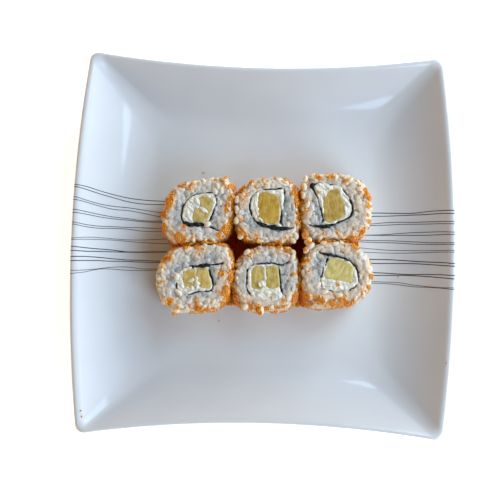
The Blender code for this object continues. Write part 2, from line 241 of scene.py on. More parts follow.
# %% [markdown]
# ## The plate
#
# The plate is pressed from one sheet of clay: a flat well, walls that sweep up to a thin lip, and a square
# foot ring under it. It could be a subdivided cage, but its outline follows a rule, so each point is worked
# out: a rounded square whose left and right sides bow out and whose front and back bow in. Towards the middle
# the bows fade and the corners grow rounder. Rings of this outline make the whole skin, from the middle of
# the well over the lip and back under the plate.

# %% The plate's outline and section
PLATE_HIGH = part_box("plate")[1] / MM
PLATE_HALF = PLATE_HIGH.x
RIM_HEIGHT = PLATE_HIGH.z
SIDE_BOW = 8.0
FRONT_BOW = 8.6
CORNER_RADIUS = 5.5
CORNER_GROWTH = 0.18
CORNER_STEPS = 12
SIDE_STEPS = 32
FLOOR_HEIGHT = 6.5
BASE_HEIGHT = 2.2
WALL_RUN = 46.0
WALL_CURVE = 1.9
WALL_THICKNESS = 4.3
WALL_STEPS = 30
# The crest is an inset. Outside it the lip drops, and inside it the wall ends a little below the rim
LIP_WIDTH = 3.4
LIP_CREST = LIP_WIDTH * 0.6
LIP_DROP = 2.0
LIP_STEPS = 8
WALL_TOP = RIM_HEIGHT - LIP_DROP * 0.3
# Where the underside of the wall begins and ends, as insets, and the foot ring as insets and heights
UNDER_RUN = (3.0, 40.5)
UNDER_STEPS = 20
FOOT_RING = (
    (41.0, 0.5), (41.5, 0.12), (42.0, 0.0), (44.0, 0.0), (46.5, 0.0), (47.0, 0.12), (47.5, 0.5), (48.0, 1.6),
    (48.6, BASE_HEIGHT))
MIDDLE_INSET = 66.0
WELL_STEPS = 6


def plate_outline(inset):
    """The outline drawn in by a distance, as an array of x and y."""
    half_x = PLATE_HALF - SIDE_BOW - inset
    half_y = PLATE_HALF - inset
    radius = CORNER_RADIUS + inset * CORNER_GROWTH
    fade = (1 - inset / PLATE_HALF) ** 2
    square = []
    for quarter, (sign_x, sign_y) in enumerate(((1, 1), (-1, 1), (-1, -1), (1, -1))):
        corner = np.array((sign_x * (half_x - radius), sign_y * (half_y - radius)))
        for k in range(CORNER_STEPS + 1):
            angle = (quarter + k / CORNER_STEPS) * math.pi / 2
            square.append(corner + np.array((math.cos(angle), math.sin(angle))) * radius)
    with_sides = []
    for i, point in enumerate(square):
        with_sides.append(point)
        if i % (CORNER_STEPS + 1) == CORNER_STEPS:
            after = square[(i + 1) % len(square)]
            with_sides += [point + (after - point) * k / SIDE_STEPS for k in range(1, SIDE_STEPS)]
    x, y = np.array(with_sides).T
    bowed_x = x + SIDE_BOW * fade * (1 - (y / half_y) ** 2) * x / half_x
    bowed_y = y - FRONT_BOW * fade * (1 - (x / half_x) ** 2) * y / half_y
    return np.stack((bowed_x, bowed_y), axis=1)


def glaze_height(inset):
    """The height of the upper face at a distance in from the rim."""
    climb = max(0.0, (WALL_RUN - inset) / (WALL_RUN - LIP_WIDTH))
    return FLOOR_HEIGHT + (WALL_TOP - FLOOR_HEIGHT) * climb ** WALL_CURVE


def plate_section():
    """(inset, height) pairs from the middle of the well, over the lip and under the plate to its middle."""
    well = [(inset, FLOOR_HEIGHT) for inset in np.linspace(MIDDLE_INSET, WALL_RUN + 2, WELL_STEPS)]
    wall = [(inset, glaze_height(inset)) for inset in np.linspace(WALL_RUN, LIP_WIDTH, WALL_STEPS)]
    turns = [k / LIP_STEPS * math.pi / 2 for k in range(1, LIP_STEPS + 1)]
    lip = [(LIP_CREST * (1 - math.sin(t)), RIM_HEIGHT - LIP_DROP * (1 - math.cos(t))) for t in turns]
    under = [(inset, glaze_height(inset) - WALL_THICKNESS) for inset in np.linspace(*UNDER_RUN, UNDER_STEPS)]
    return [*well, *wall, *lip, *under, *FOOT_RING, (MIDDLE_INSET, BASE_HEIGHT)]


print("the plate's section has", len(plate_section()), "points")


# %% Skin the plate
def ring_faces(first, second, count):
    """Four-sided faces between two rings, by the index of each ring's first point."""
    return [(first + i, second + i, second + (i + 1) % count, first + (i + 1) % count) for i in range(count)]


around = 4 * (CORNER_STEPS + SIDE_STEPS)
rings = []
for inset, height in plate_section():
    rings.append(np.column_stack((plate_outline(inset), np.full(around, height))))
plate_points = np.vstack(rings)
plate_faces = [tuple(range(around)), tuple(range(len(plate_points) - around, len(plate_points)))[::-1]]
for row in range(len(rings) - 1):
    plate_faces += ring_faces(row * around, (row + 1) * around, around)
piece("plate_glazed", plate_points, plate_faces, porcelain, "porcelain", ["plate"], sharp_from=70)
plate_tree = search_tree(plate_points, plate_faces)
print("the plate has", len(plate_points), "points in", len(rings), "rings")

# Well above the rim, where the rays that look for the glaze start
PROBE_HEIGHT = 60.0


def glaze_at(x, y):
    """The height of the glaze at a place, found by a ray from above."""
    return plate_tree.ray_cast(Vector((x, y, PROBE_HEIGHT)), Vector((0, 0, -1)))[0].z


# %% [markdown]
# ## The printed lines
#
# Eight pairs of thin grey lines cross the plate. On real ware they are a print under the last firing, a few
# hundredths of a millimetre proud of the glaze. They could be painted by a texture, but a line that wanders
# is easier to draw as a curve: each one is a flat ribbon, dropped onto the glaze by a ray cast at every step.

# %% Overglaze print
PRINT_WEAR = 1.5

print_ink, tree, shader = finish_of(
    "overglaze_print", Roughness=0.3, IOR=1.5, Coat_Weight=0.6, Coat_Roughness=0.08)
where = add(tree, "TexCoord").outputs["Object"]
wear = add(tree, "TexNoise", {"Vector": where, "Scale": per_metre(PRINT_WEAR), "Detail": 2.0})
ink = add(tree, "Mix", {
    FACTOR: wear.outputs["Fac"],
    FIRST_COLOUR: "#15181B",
    SECOND_COLOUR: "#34393E",
}, data_type="RGBA")
settle(tree, shader, {"Base Color": ink.outputs[COLOUR_OUT]})
print("the print is a net of", len(tree.nodes), "nodes")

# %% Where the lines run
# How far back each line lies at stations across the plate, from left to right: the upper and the lower line
# of each pair. The rolls hide the middle.
STATIONS = (-117.8, -111.4, -104.1, -95.6, -87.4, -78.3, -67.3, 70.9, 79.4, 87.6, 95.6, 103.4, 110.9, 117.5)
LINE_PAIRS = (
    ((33.6, 32.9, 31.1, 29.4, 28.1, 27.4, 27.0, 22.2, 22.1, 21.8, 21.7, 22.3, 22.5, 22.2),
     (32.3, 31.0, 29.2, 27.4, 25.7, 24.8, 24.8, 20.0, 20.2, 20.4, 20.5, 20.5, 20.7, 20.3)),
    ((25.9, 24.3, 22.8, 22.0, 21.8, 20.9, 19.7, 15.2, 16.0, 16.1, 15.8, 15.8, 15.6, 15.3),
     (24.2, 23.0, 21.4, 20.1, 20.0, 18.8, 16.9, 14.1, 14.4, 14.7, 14.6, 14.4, 14.2, 13.8)),
    ((17.9, 17.1, 16.1, 15.2, 14.8, 14.0, 14.0, 7.9, 8.3, 8.9, 9.2, 9.2, 9.1, 8.6),
     (16.0, 15.5, 14.6, 14.0, 13.8, 13.3, 13.1, 7.7, 7.7, 7.6, 7.5, 7.3, 7.3, 7.1)),
    ((9.9, 9.0, 8.6, 9.0, 9.1, 9.3, 9.1, 4.3, 4.3, 3.9, 3.3, 2.6, 2.2, 1.9),
     (8.6, 7.6, 7.3, 7.9, 8.0, 7.2, 7.4, 3.1, 3.0, 2.6, 1.9, 1.4, 1.1, 0.8)),
    ((0.0, 1.0, 1.4, 1.2, 1.1, 1.4, 2.2, -1.2, -1.8, -2.1, -2.3, -2.5, -2.7, -2.9),
     (-1.0, -0.3, 0.1, 0.4, 0.2, -0.2, -0.4, -3.5, -3.7, -3.8, -3.8, -3.7, -3.7, -4.0)),
    ((-5.3, -5.6, -5.8, -6.0, -6.6, -6.3, -5.9, -7.9, -7.9, -8.4, -9.1, -9.7, -10.2, -11.0),
     (-7.8, -7.8, -7.4, -7.1, -6.8, -6.5, -6.1, -10.5, -10.4, -10.4, -10.6, -11.2, -12.0, -12.7)),
    ((-11.6, -11.1, -11.1, -11.5, -11.8, -11.7, -11.9, -16.4, -16.7, -17.2, -17.6, -17.6, -17.9, -18.5),
     (-14.2, -13.6, -13.2, -13.1, -12.8, -12.8, -12.8, -18.2, -18.1, -18.0, -18.3, -18.9, -19.7, -20.6)),
    ((-20.3, -19.6, -18.4, -16.9, -16.3, -17.1, -17.0, -22.1, -22.4, -22.8, -24.2, -25.2, -26.0, -26.2),
     (-22.1, -20.9, -18.7, -18.1, -18.4, -18.2, -17.7, -23.2, -23.4, -24.2, -25.3, -25.7, -26.3, -27.2)),
)
LINE_WIDTHS = (0.5, 0.42, 0.42, 0.4, 0.34, 0.56, 0.54, 0.36)
print(2 * len(LINE_PAIRS), "lines, of", min(LINE_WIDTHS), "to", max(LINE_WIDTHS), "mm")

# %% Draw the lines
LINE_RISE = 0.05
LINE_STEPS = 130
# Close to its ends a line follows the turn of the lip in steps that grow shorter outwards
LIP_TURN = 4.0
LIP_LINE_STEPS = 24
LIP_CROWDING = 1.5
# A line ends this far in from the plate's edge
LINE_INSET = 0.15
RIM_LINE = plate_outline(LINE_INSET)


def rim_x(y, side):
    """How far the plate reaches to one side at a given y, short of the turn of its lip."""
    half = RIM_LINE[RIM_LINE[:, 0] * side > 0]
    order = np.argsort(half[:, 1])
    return float(np.interp(y, half[order, 1], half[order, 0]))


def smooth_through(at, stations, values):
    """A cubic curve through the values, with the slope at each station taken from its neighbours."""
    slopes = np.gradient(values, stations)
    i = np.clip(np.searchsorted(stations, at) - 1, 0, len(stations) - 2)
    run = stations[i + 1] - stations[i]
    t = np.clip((at - stations[i]) / run, 0, 1)
    start = (1 + 2 * t) * (1 - t) ** 2 * values[i] + t * (1 - t) ** 2 * run * slopes[i]
    return start + t * t * (3 - 2 * t) * values[i + 1] + t * t * (t - 1) * run * slopes[i + 1]


def line_ribbon(heights, width):
    """A closed flat ribbon on the glaze, through a line's places at the stations, from rim to rim."""
    start, end = rim_x(heights[0], -1), rim_x(heights[-1], 1)
    lip = LIP_TURN * np.linspace(0, 1, LIP_LINE_STEPS, endpoint=False) ** LIP_CROWDING
    xs = np.r_[start + lip, np.linspace(start + LIP_TURN, end - LIP_TURN, LINE_STEPS), end - lip[::-1]]
    ys = smooth_through(xs, np.array(STATIONS), np.array(heights))
    points = []
    for x, middle in zip(xs, ys):
        for across, rise in ((0.5, -LINE_RISE), (0.5, LINE_RISE), (-0.5, LINE_RISE), (-0.5, -LINE_RISE)):
            y = middle + across * width
            points.append((x, y, glaze_at(x, y) + rise))
    faces = [(0, 1, 2, 3), tuple(len(points) - 4 + k for k in (3, 2, 1, 0))]
    for row in range(len(xs) - 1):
        faces += [f[::-1] for f in ring_faces(row * 4, row * 4 + 4, 4)]
    return points, faces


line_points, line_faces = [], []
for pair, width in zip(LINE_PAIRS, LINE_WIDTHS):
    for heights in pair:
        points, faces = line_ribbon(heights, width)
        line_faces += [tuple(len(line_points) + i for i in face) for face in faces]
        line_points += points
piece("plate_line_print", line_points, line_faces, print_ink, "porcelain", sharp_from=60)
print("the printed lines have", len(line_points), "points")

# %% [markdown]
# ## The finishes of the food
#
# All of these are moist, and all but the nori let light in. Cooked rice is a starch gel: milky, with light
# that spreads a few millimetres and a soft shine. Where the knife went through, the grains are clearer and
# thin bright skins show between them. Roe is a drop of coloured oil and water in a clear skin, so it glows
# and has a small sharp highlight. Nori drinks nearly all light. Cream cheese scatters light close to its
# surface. The fruit is fibrous and lets light in deeply. Subsurface scattering with a radius from the real
# thing gives each its softness, and the patterns are as wide as what makes them: a grain, a curd or a fibre.

# %% Cooked rice, whole grains
# Milky patches of starch are about half a grain long, and the skin has a fine grit
MILKY_PATCH = 3.0
SKIN_GRIT = 0.5
# What the oil of the roe makes of the rice that it lies on, with a painted glow of the amber light
# that the roe passes into the rice
STAIN_AND_GLOW_COLOUR = "#FFCD92"

rice_grains, tree, shader = finish_of(
    "cooked_rice", Roughness=0.42, IOR=1.38, Subsurface_Weight=0.7, Subsurface_Scale=1.0 * MM,
    Subsurface_Radius=(2.2, 1.9, 1.6), Coat_Weight=0.08, Coat_Roughness=0.2)
where = add(tree, "TexCoord").outputs["Object"]
milky = add(tree, "TexNoise", {"Vector": where, "Scale": per_metre(MILKY_PATCH), "Detail": 3.0})
starch = add(tree, "Mix", {
    FACTOR: milky.outputs["Fac"],
    FIRST_COLOUR: "#DED2BD",
    SECOND_COLOUR: "#F2E8D4",
}, data_type="RGBA")
# The oil's stain, with a painted glow of the light that passes through the roe into the rice
stain = add(tree, "Attribute", attribute_name="stain")
stained = add(tree, "Mix", {
    FACTOR: stain.outputs["Fac"],
    FIRST_COLOUR: starch.outputs[COLOUR_OUT],
    SECOND_COLOUR: STAIN_AND_GLOW_COLOUR,
}, data_type="RGBA")
fine = add(tree, "TexNoise", {"Vector": where, "Scale": per_metre(SKIN_GRIT), "Detail": 1.0})
bump = add(tree, "Bump", {"Height": fine.outputs["Fac"], "Strength": 0.3, "Distance": 0.1 * MM})
settle(tree, shader, {"Base Color": stained.outputs[COLOUR_OUT], "Normal": bump.outputs["Normal"]})
print("the whole grains' rice is a net of", len(tree.nodes), "nodes")

# %% Pressed rice: its patterns
GRAIN_LENGTH = 6.2
GRAIN_WIDTH = 3.4
GRAIN_DEPTH = 2.8
# How far at most the net of skins is pushed out of line, how long a stretch of it is gone or left, and how
# wide a crumb is
SKIN_SHIFT = 2.5
SKIN_BREAK = 2.0
CRUMB_WIDTH = 0.9

rice_pressed, tree, shader = finish_of(
    "pressed_rice", Roughness=0.34, IOR=1.38, Subsurface_Weight=0.7, Subsurface_Scale=1.0 * MM,
    Subsurface_Radius=(2.6, 2.4, 2.3), Coat_Weight=0.15, Coat_Roughness=0.12)
where = add(tree, "TexCoord").outputs["Object"]
cloudy = add(tree, "TexNoise", {"Vector": where, "Scale": per_metre(GRAIN_WIDTH), "Detail": 3.0})
shaken = add(tree, "VectorMath", {
    0: cloudy.outputs["Color"],
    1: (SKIN_SHIFT * MM,) * 3,
}, operation="MULTIPLY")
loose = add(tree, "VectorMath", {0: where, 1: shaken.outputs["Vector"]}, operation="ADD")
skins = add(tree, "TexVoronoi", {
    "Vector": loose.outputs["Vector"],
    "Scale": per_metre(GRAIN_WIDTH),
}, feature="DISTANCE_TO_EDGE")
thin = add(tree, "MapRange", {
    "Value": skins.outputs["Distance"],
    "From Min": 0.0,
    "From Max": 0.06,
    "To Min": 0.9,
    "To Max": 0.0,
}, interpolation_type="SMOOTHSTEP")
gone = add(tree, "TexNoise", {"Vector": where, "Scale": per_metre(SKIN_BREAK), "Detail": 2.0})
broken = add(tree, "MapRange", {"Value": gone.outputs["Fac"], "From Min": 0.48, "From Max": 0.62})
shown = add(tree, "Math", {0: thin.outputs["Result"], 1: broken.outputs["Result"]}, operation="MULTIPLY")
crumbly = add(tree, "TexNoise", {
    "Vector": where,
    "Scale": per_metre(CRUMB_WIDTH),
    "Detail": 3.0,
    "Roughness": 0.7,
})
specks = add(tree, "MapRange", {
    "Value": crumbly.outputs["Fac"],
    "From Min": 0.5,
    "From Max": 0.68,
    "To Min": 0.0,
    "To Max": 0.55,
})
print("the patterns of the pressed rice take", len(tree.nodes), "nodes")

# %% Pressed rice: its colours
rim_gel = add(tree, "Mix", {
    FACTOR: cloudy.outputs["Fac"],
    FIRST_COLOUR: "#D2C9B9",
    SECOND_COLOUR: "#F2EADA",
}, data_type="RGBA")
inner_gel = add(tree, "Mix", {
    FACTOR: cloudy.outputs["Fac"],
    FIRST_COLOUR: "#727A79",
    SECOND_COLOUR: "#C4C7C0",
}, data_type="RGBA")
# How clear the gel is, with painted shade added in some spots
clear_and_shaded = add(tree, "Attribute", attribute_name="clearness")
stain = add(tree, "Attribute", attribute_name="stain")
# The clear gel with its painted shade, the skins, the crumbs, and the stain with its painted glow are laid
# one over another
colour = rim_gel.outputs[COLOUR_OUT]
for share, over in (
    (clear_and_shaded.outputs["Fac"], inner_gel.outputs[COLOUR_OUT]),
    (shown.outputs["Value"], "#F4F4F1"),
    (specks.outputs["Result"], "#F7F8F6"),
    (stain.outputs["Fac"], STAIN_AND_GLOW_COLOUR),
):
    laid = add(tree, "Mix", {FACTOR: share, FIRST_COLOUR: colour, SECOND_COLOUR: over}, data_type="RGBA")
    colour = laid.outputs[COLOUR_OUT]
rough = add(tree, "Math", {0: cloudy.outputs["Fac"], 1: crumbly.outputs["Fac"]}, operation="ADD")
bump = add(tree, "Bump", {"Height": rough.outputs["Value"], "Strength": 0.75, "Distance": 0.4 * MM})
settle(tree, shader, {"Base Color": colour, "Normal": bump.outputs["Normal"]})
print("the pressed rice is a net of", len(tree.nodes), "nodes")

# %% Roe
# Every egg is ripe in its own way, so the shade changes over a little more than an egg's width
RIPE_PATCH = 1.3

roe_skin, tree, shader = finish_of(
    "capelin_roe", Roughness=0.14, IOR=1.36, Subsurface_Weight=0.6, Subsurface_Scale=1.0 * MM,
    Subsurface_Radius=(1.4, 0.6, 0.2), Coat_Weight=0.5, Coat_Roughness=0.06)
where = add(tree, "TexCoord").outputs["Object"]
ripe = add(tree, "TexNoise", {"Vector": where, "Scale": per_metre(RIPE_PATCH), "Detail": 1.0})
ripeness = add(tree, "MapRange", {"Value": ripe.outputs["Fac"], "From Min": 0.3, "From Max": 0.7})
oil = add(tree, "Mix", {
    FACTOR: ripeness.outputs["Result"],
    FIRST_COLOUR: "#E67808",
    SECOND_COLOUR: "#FFB832",
}, data_type="RGBA")
# Painted shade: eggs low down between the rolls are painted a deeper red
deep = add(tree, "Attribute", attribute_name="deep")
shade_reddened = add(tree, "Mix", {
    FACTOR: deep.outputs["Fac"],
    FIRST_COLOUR: oil.outputs[COLOUR_OUT],
    SECOND_COLOUR: "#EE4A08",
}, data_type="RGBA")
settle(tree, shader, {"Base Color": shade_reddened.outputs[COLOUR_OUT]})
print("the roe is a net of", len(tree.nodes), "nodes")

# %% Moist nori
# A sheet is pressed from scraps of alga about this wide
ALGA_WIDTH = 0.6

nori_sheet, tree, shader = finish_of("moist_nori", Roughness=0.65, IOR=1.4)
where = add(tree, "TexCoord").outputs["Object"]
weave = add(tree, "TexNoise", {"Vector": where, "Scale": per_metre(ALGA_WIDTH), "Detail": 4.0})
algae = add(tree, "Mix", {
    FACTOR: weave.outputs["Fac"],
    FIRST_COLOUR: "#040706",
    SECOND_COLOUR: "#0F1613",
}, data_type="RGBA")
bump = add(tree, "Bump", {"Height": weave.outputs["Fac"], "Strength": 0.5, "Distance": 0.2 * MM})
settle(tree, shader, {"Base Color": algae.outputs[COLOUR_OUT], "Normal": bump.outputs["Normal"]})
print("the nori is a net of", len(tree.nodes), "nodes")

# %% Cream cheese
CURD_WIDTH = 1.6

cream_cheese, tree, shader = finish_of(
    "cream_cheese", Roughness=0.38, IOR=1.45, Subsurface_Weight=0.5, Subsurface_Scale=1.0 * MM,
    Subsurface_Radius=(1.6, 1.4, 1.1), Coat_Weight=0.2, Coat_Roughness=0.15)
where = add(tree, "TexCoord").outputs["Object"]
curd = add(tree, "TexNoise", {"Vector": where, "Scale": per_metre(CURD_WIDTH), "Detail": 4.0})
whey = add(tree, "Mix", {
    FACTOR: curd.outputs["Fac"],
    FIRST_COLOUR: "#E6E0C9",
    SECOND_COLOUR: "#FFFCEA",
}, data_type="RGBA")
bump = add(tree, "Bump", {"Height": curd.outputs["Fac"], "Strength": 0.6, "Distance": 0.4 * MM})
settle(tree, shader, {"Base Color": whey.outputs[COLOUR_OUT], "Normal": bump.outputs["Normal"]})
print("the cheese is a net of", len(tree.nodes), "nodes")

# %% Fruit flesh
# A fibre's width, how many times longer it is, and how wide the flesh's paler clouds are
FIBRE_WIDTH = 1.5
FIBRE_RATIO = 2.6
FLESH_CLOUD = 3.6


def fruit_flesh(name, ripe_colour, pale_colour, heading):
    """Flesh whose fibres run along a heading in degrees, seen from above."""
    made, tree, shader = finish_of(
        name, Roughness=0.25, IOR=1.37, Subsurface_Weight=0.45, Subsurface_Scale=1.0 * MM,
        Subsurface_Radius=(2.4, 1.8, 0.6), Coat_Weight=0.3, Coat_Roughness=0.1)
    where = add(tree, "TexCoord").outputs["Object"]
    turned = add(tree, "Mapping", {
        "Vector": where,
        "Rotation": (0.0, 0.0, math.radians(heading)),
        "Scale": (FIBRE_RATIO, 1.0, FIBRE_RATIO),
    }, vector_type="TEXTURE")
    fibres = add(tree, "TexNoise", {
        "Vector": turned.outputs["Vector"],
        "Scale": per_metre(FIBRE_WIDTH),
        "Detail": 4.0,
        "Roughness": 0.65,
    })
    clouds = add(tree, "TexNoise", {"Vector": where, "Scale": per_metre(FLESH_CLOUD), "Detail": 3.0})
    both = add(tree, "Math", {0: fibres.outputs["Fac"], 1: clouds.outputs["Fac"]}, operation="ADD")
    level = add(tree, "MapRange", {"Value": both.outputs["Value"], "From Min": 0.75, "From Max": 1.3})
    flesh = add(tree, "Mix", {
        FACTOR: level.outputs["Result"],
        FIRST_COLOUR: ripe_colour,
        SECOND_COLOUR: pale_colour,
    }, data_type="RGBA")
    # A painted highlight along the cut's edge
    edge = add(tree, "Attribute", attribute_name="edge")
    edge_highlighted = add(tree, "Mix", {
        FACTOR: edge.outputs["Fac"],
        FIRST_COLOUR: flesh.outputs[COLOUR_OUT],
        SECOND_COLOUR: "#DCD79A",
    }, data_type="RGBA")
    bump = add(tree, "Bump", {"Height": fibres.outputs["Fac"], "Strength": 0.5, "Distance": 0.3 * MM})
    settle(tree, shader, {"Base Color": edge_highlighted.outputs[COLOUR_OUT], "Normal": bump.outputs["Normal"]})
    return made


print(len(bpy.data.materials), "materials so far")

# %% [markdown]
# ## Outlines from the frame
#
# The frame already holds where every sheet, filling and rice ring lies. So nothing is measured twice: the
# upper face of a solid is read back as outlines, rounded, cut into short steps and made uneven, and the fine
# piece is raised on them. A filled area between outlines comes from a constrained Delaunay triangulation,
# which keeps the outlines' own points and fills in between with points on a jittered grid.


# %% Read outlines
LEVEL_SLACK = 0.01


def level_outlines(node, lower=False):
    """The outlines of a node's level upper or lower face, seen from above.

    Outer ones run anticlockwise, those of holes clockwise."""
    points, faces = frame_mesh(node)
    spots, same = np.unique(np.round(points, 2), axis=0, return_inverse=True)
    same = same.ravel()
    level = spots[:, 2].min() if lower else spots[:, 2].max()
    edges = set()
    for face in faces:
        ring = [int(same[i]) for i in (face[::-1] if lower else face)]
        if max(abs(spots[i][2] - level) for i in ring) > LEVEL_SLACK:
            continue
        for edge in zip(ring, ring[1:] + ring[:1]):
            if edge[::-1] in edges:
                edges.remove(edge[::-1])
            else:
                edges.add(edge)
    following = dict(sorted(edges))
    outlines = []
    while following:
        loop = [min(following)]
        while loop[-1] in following:
            loop.append(following.pop(loop[-1]))
        outlines.append(spots[loop[:-1], :2])
    return outlines


print("the back left cheese has", [len(loop) for loop in level_outlines("roll_back_left_cheese")], "points")


# %% Shape outlines
FEWEST_STEPS = 12


def even_steps(line, step, closed=True):
    """The line again with points an even step apart."""
    whole = np.vstack((line, line[:1])) if closed else np.asarray(line)
    along = np.r_[0.0, np.cumsum(np.linalg.norm(np.diff(whole, axis=0), axis=1))]
    count = max(FEWEST_STEPS, round(along[-1] / step))
    at = np.linspace(0.0, along[-1], count, endpoint=not closed)
    return np.stack([np.interp(at, along, column) for column in whole.T], axis=1)


def softened(loop, passes):
    """A closed outline with its corners worn down."""
    for _ in range(passes):
        loop = (np.roll(loop, 1, axis=0) + 2 * loop + np.roll(loop, -1, axis=0)) / 4
    return loop


def side_of(loop):
    """The direction to the right of a closed outline at each point: out of the solid that it bounds."""
    along = np.roll(loop, -1, axis=0) - np.roll(loop, 1, axis=0)
    right = np.stack((along[:, 1], -along[:, 0]), axis=1)
    return right / np.maximum(np.linalg.norm(right, axis=1, keepdims=True), 1e-6)


def uneven(loop, grow, layer, seed=0.0):
    """An outline grown by a distance and pushed in and out by one noise (strength, size and seed)."""
    return loop + side_of(loop) * (grow + layered(loop, [layer], seed))[:, None]


def turned_area(loop):
    """The area inside a closed outline, below zero where it runs clockwise."""
    x, y = loop.T
    return (x * np.roll(y, -1) - y * np.roll(x, -1)).sum() / 2


def inside(points, outlines):
    """Which points lie between the outlines, by the even and odd rule."""
    crossings = np.zeros(len(points), int)
    x, y = points.T
    for loop in outlines:
        for (x0, y0), (x1, y1) in zip(loop, np.roll(loop, -1, axis=0)):
            if y0 != y1:
                between = (y0 <= y) != (y1 <= y)
                crossings += between & (x < x0 + (y - y0) / (y1 - y0) * (x1 - x0))
    return crossings % 2 == 1


def reach_to(points, marks):
    """Each point's distance to the nearest of some marks."""
    gaps = points[:, None, :] - marks[None, :, :]
    return np.sqrt((gaps ** 2).sum(axis=2)).min(axis=1)


print("a square of 2 mm has an area of", turned_area(2 * np.array([(0, 0), (1, 0), (1, 1), (0, 1)])), "mm2")

# %% Fill outlines
# Rows of even triangles lie this far apart, as a share of their side
ROW_SPACING = 0.87
JITTER = 0.18
# Points of the grid keep this share of a step away from the outlines
RIM_ROOM = 0.6


def filled(outlines, step, chance):
    """Points and triangles of the area between outlines. The outlines' points come first, in their order."""
    rims = np.vstack(outlines)
    edges = []
    first = 0
    for loop in outlines:
        edges += [(first + i, first + (i + 1) % len(loop)) for i in range(len(loop))]
        first += len(loop)
    low, high = rims.min(axis=0), rims.max(axis=0)
    xs, ys = np.meshgrid(np.arange(low[0], high[0], step), np.arange(low[1], high[1], step * ROW_SPACING))
    xs[1::2] += step / 2
    grid = np.stack((xs.ravel(), ys.ravel()), axis=1)
    grid += chance.uniform(-JITTER, JITTER, grid.shape) * step
    grid = grid[inside(grid, outlines)]
    grid = grid[reach_to(grid, rims) > RIM_ROOM * step] if len(grid) else grid
    spots = np.vstack((rims, grid))
    found = delaunay_2d_cdt([Vector(p) for p in spots], edges, [], 0, 1e-5)
    numbers = []
    for place, origin in zip(found[0], found[3]):
        if origin:
            numbers.append(origin[0])
        else:
            numbers.append(len(spots))
            spots = np.vstack((spots, [place[:]]))
    triangles = np.array([[numbers[i] for i in face] for face in found[2]])
    corners = spots[triangles]
    keep = inside(corners.mean(axis=1), outlines)
    ahead, beyond = corners[:, 1] - corners[:, 0], corners[:, 2] - corners[:, 0]
    turned = ahead[:, 0] * beyond[:, 1] - ahead[:, 1] * beyond[:, 0] < 0
    triangles[turned] = triangles[turned][:, ::-1]
    return spots, triangles[keep]


test_square = np.array([(0, 0), (4, 0), (4, 4), (0, 4)], float)
print("a test square fills with", len(filled([test_square], 1.0, np.random.default_rng(1))[1]), "triangles")

# %% Raise solids
# Steps on the underside, where nothing shows, are this many times longer
UNDER_STEP = 3


def raised(walls, step, top_at, chance):
    """A closed solid. Each outline gives its wall as rows of points from top to bottom.

    top_at gives the height of the upper face at points, from their places and their distances to the rim."""
    flat, faces = filled([rows[0][:, :2] for rows in walls], step, chance)
    rims = np.vstack([rows[0][:, :2] for rows in walls])
    points = [np.column_stack((flat, top_at(flat, reach_to(flat, rims))))]
    under, under_faces = filled([rows[-1][:, :2] for rows in walls], step * UNDER_STEP, chance)
    count = len(flat)
    faces = faces.tolist() + (under_faces[:, ::-1] + count).tolist()
    points.append(np.column_stack((under, np.full(len(under), walls[0][-1][:, 2].mean()))))
    total = count + len(under)
    first = 0
    for rows in walls:
        around = len(rows[0])
        upper = first
        for row in rows[1:-1]:
            points.append(row)
            faces += ring_faces(upper, total, around)
            upper = total
            total += around
        faces += ring_faces(upper, count + first, around)
        first += around
    return np.vstack(points), faces


def straight_wall(loop, top, bottom, fractions):
    """Rows of a wall that drops straight down from an outline."""
    return [np.column_stack((loop, np.full(len(loop), top + (bottom - top) * f))) for f in fractions]


test_wall = straight_wall(test_square, 1.0, 0.0, (0.0, 1.0))
test_points, _ = raised([test_wall], 1.0, lambda points, _: np.ones(len(points)), np.random.default_rng(1))
print("a raised test square has", len(test_points), "points")

# %% [markdown]
# ## Nori
#
# A sheet of dried seaweed, about 0.4 mm thick when moist and bunched up in places. The knife drags it, so its
# edge is ragged. The frame's sheet is one outline: its two shortest edges are the sheet's ends, and its line
# lies midway between its two long sides. The fine sheet is made along that line, with its own thickness at
# every step.

# %% Follow a sheet
NORI_STEP = 0.4


def near(points, x, y, reach):
    """1 at a place, falling to 0 at its reach and beyond."""
    return np.clip(1 - (np.hypot(points[:, 0] - x, points[:, 1] - y) / reach) ** 2, 0, 1)


def sheet_line(node):
    """The middle line of a sheet, from one end to the other."""
    loop = level_outlines(node)[0]
    lengths = np.linalg.norm(np.roll(loop, -1, axis=0) - loop, axis=1)
    first, second = sorted(np.argsort(lengths)[:2])
    one_side = loop[first + 1:second + 1]
    other_side = np.vstack((loop[second + 1:], loop[:first + 1]))[::-1]
    sides = [even_steps(side, NORI_STEP, False) for side in (one_side, other_side)]
    count = min(len(side) for side in sides)
    parts = [side[np.linspace(0, len(side) - 1, count).round().astype(int)] for side in sides]
    return (parts[0] + parts[1]) / 2


print("the back left sheet is followed in", len(sheet_line("roll_back_left_nori")), "places")

# %% Make the nori
NORI_THICKNESS = 0.42
THINNEST_NORI = 0.14
TIP_THICKNESS = 0.5
# Noises, each as its strength, its size and its own seed
SHEET_WANDER = ((0.6, 2.6, 5.0), (0.3, 1.1, 6.0))
SHEET_UNEVEN = ((1.3, 2.6, 9.0), (0.6, 0.8, 8.0))
CUT_RELIEF = ((0.7, 1.9, 3.0), (0.3, 0.8, 4.0))
CUT_DROP = 0.35
TALLEST_BUNCH = 1.0
SHEET_SINK = 1.5
SHEET_FRACTIONS = (0.0, 0.03, 0.1, 0.4, 1.0)


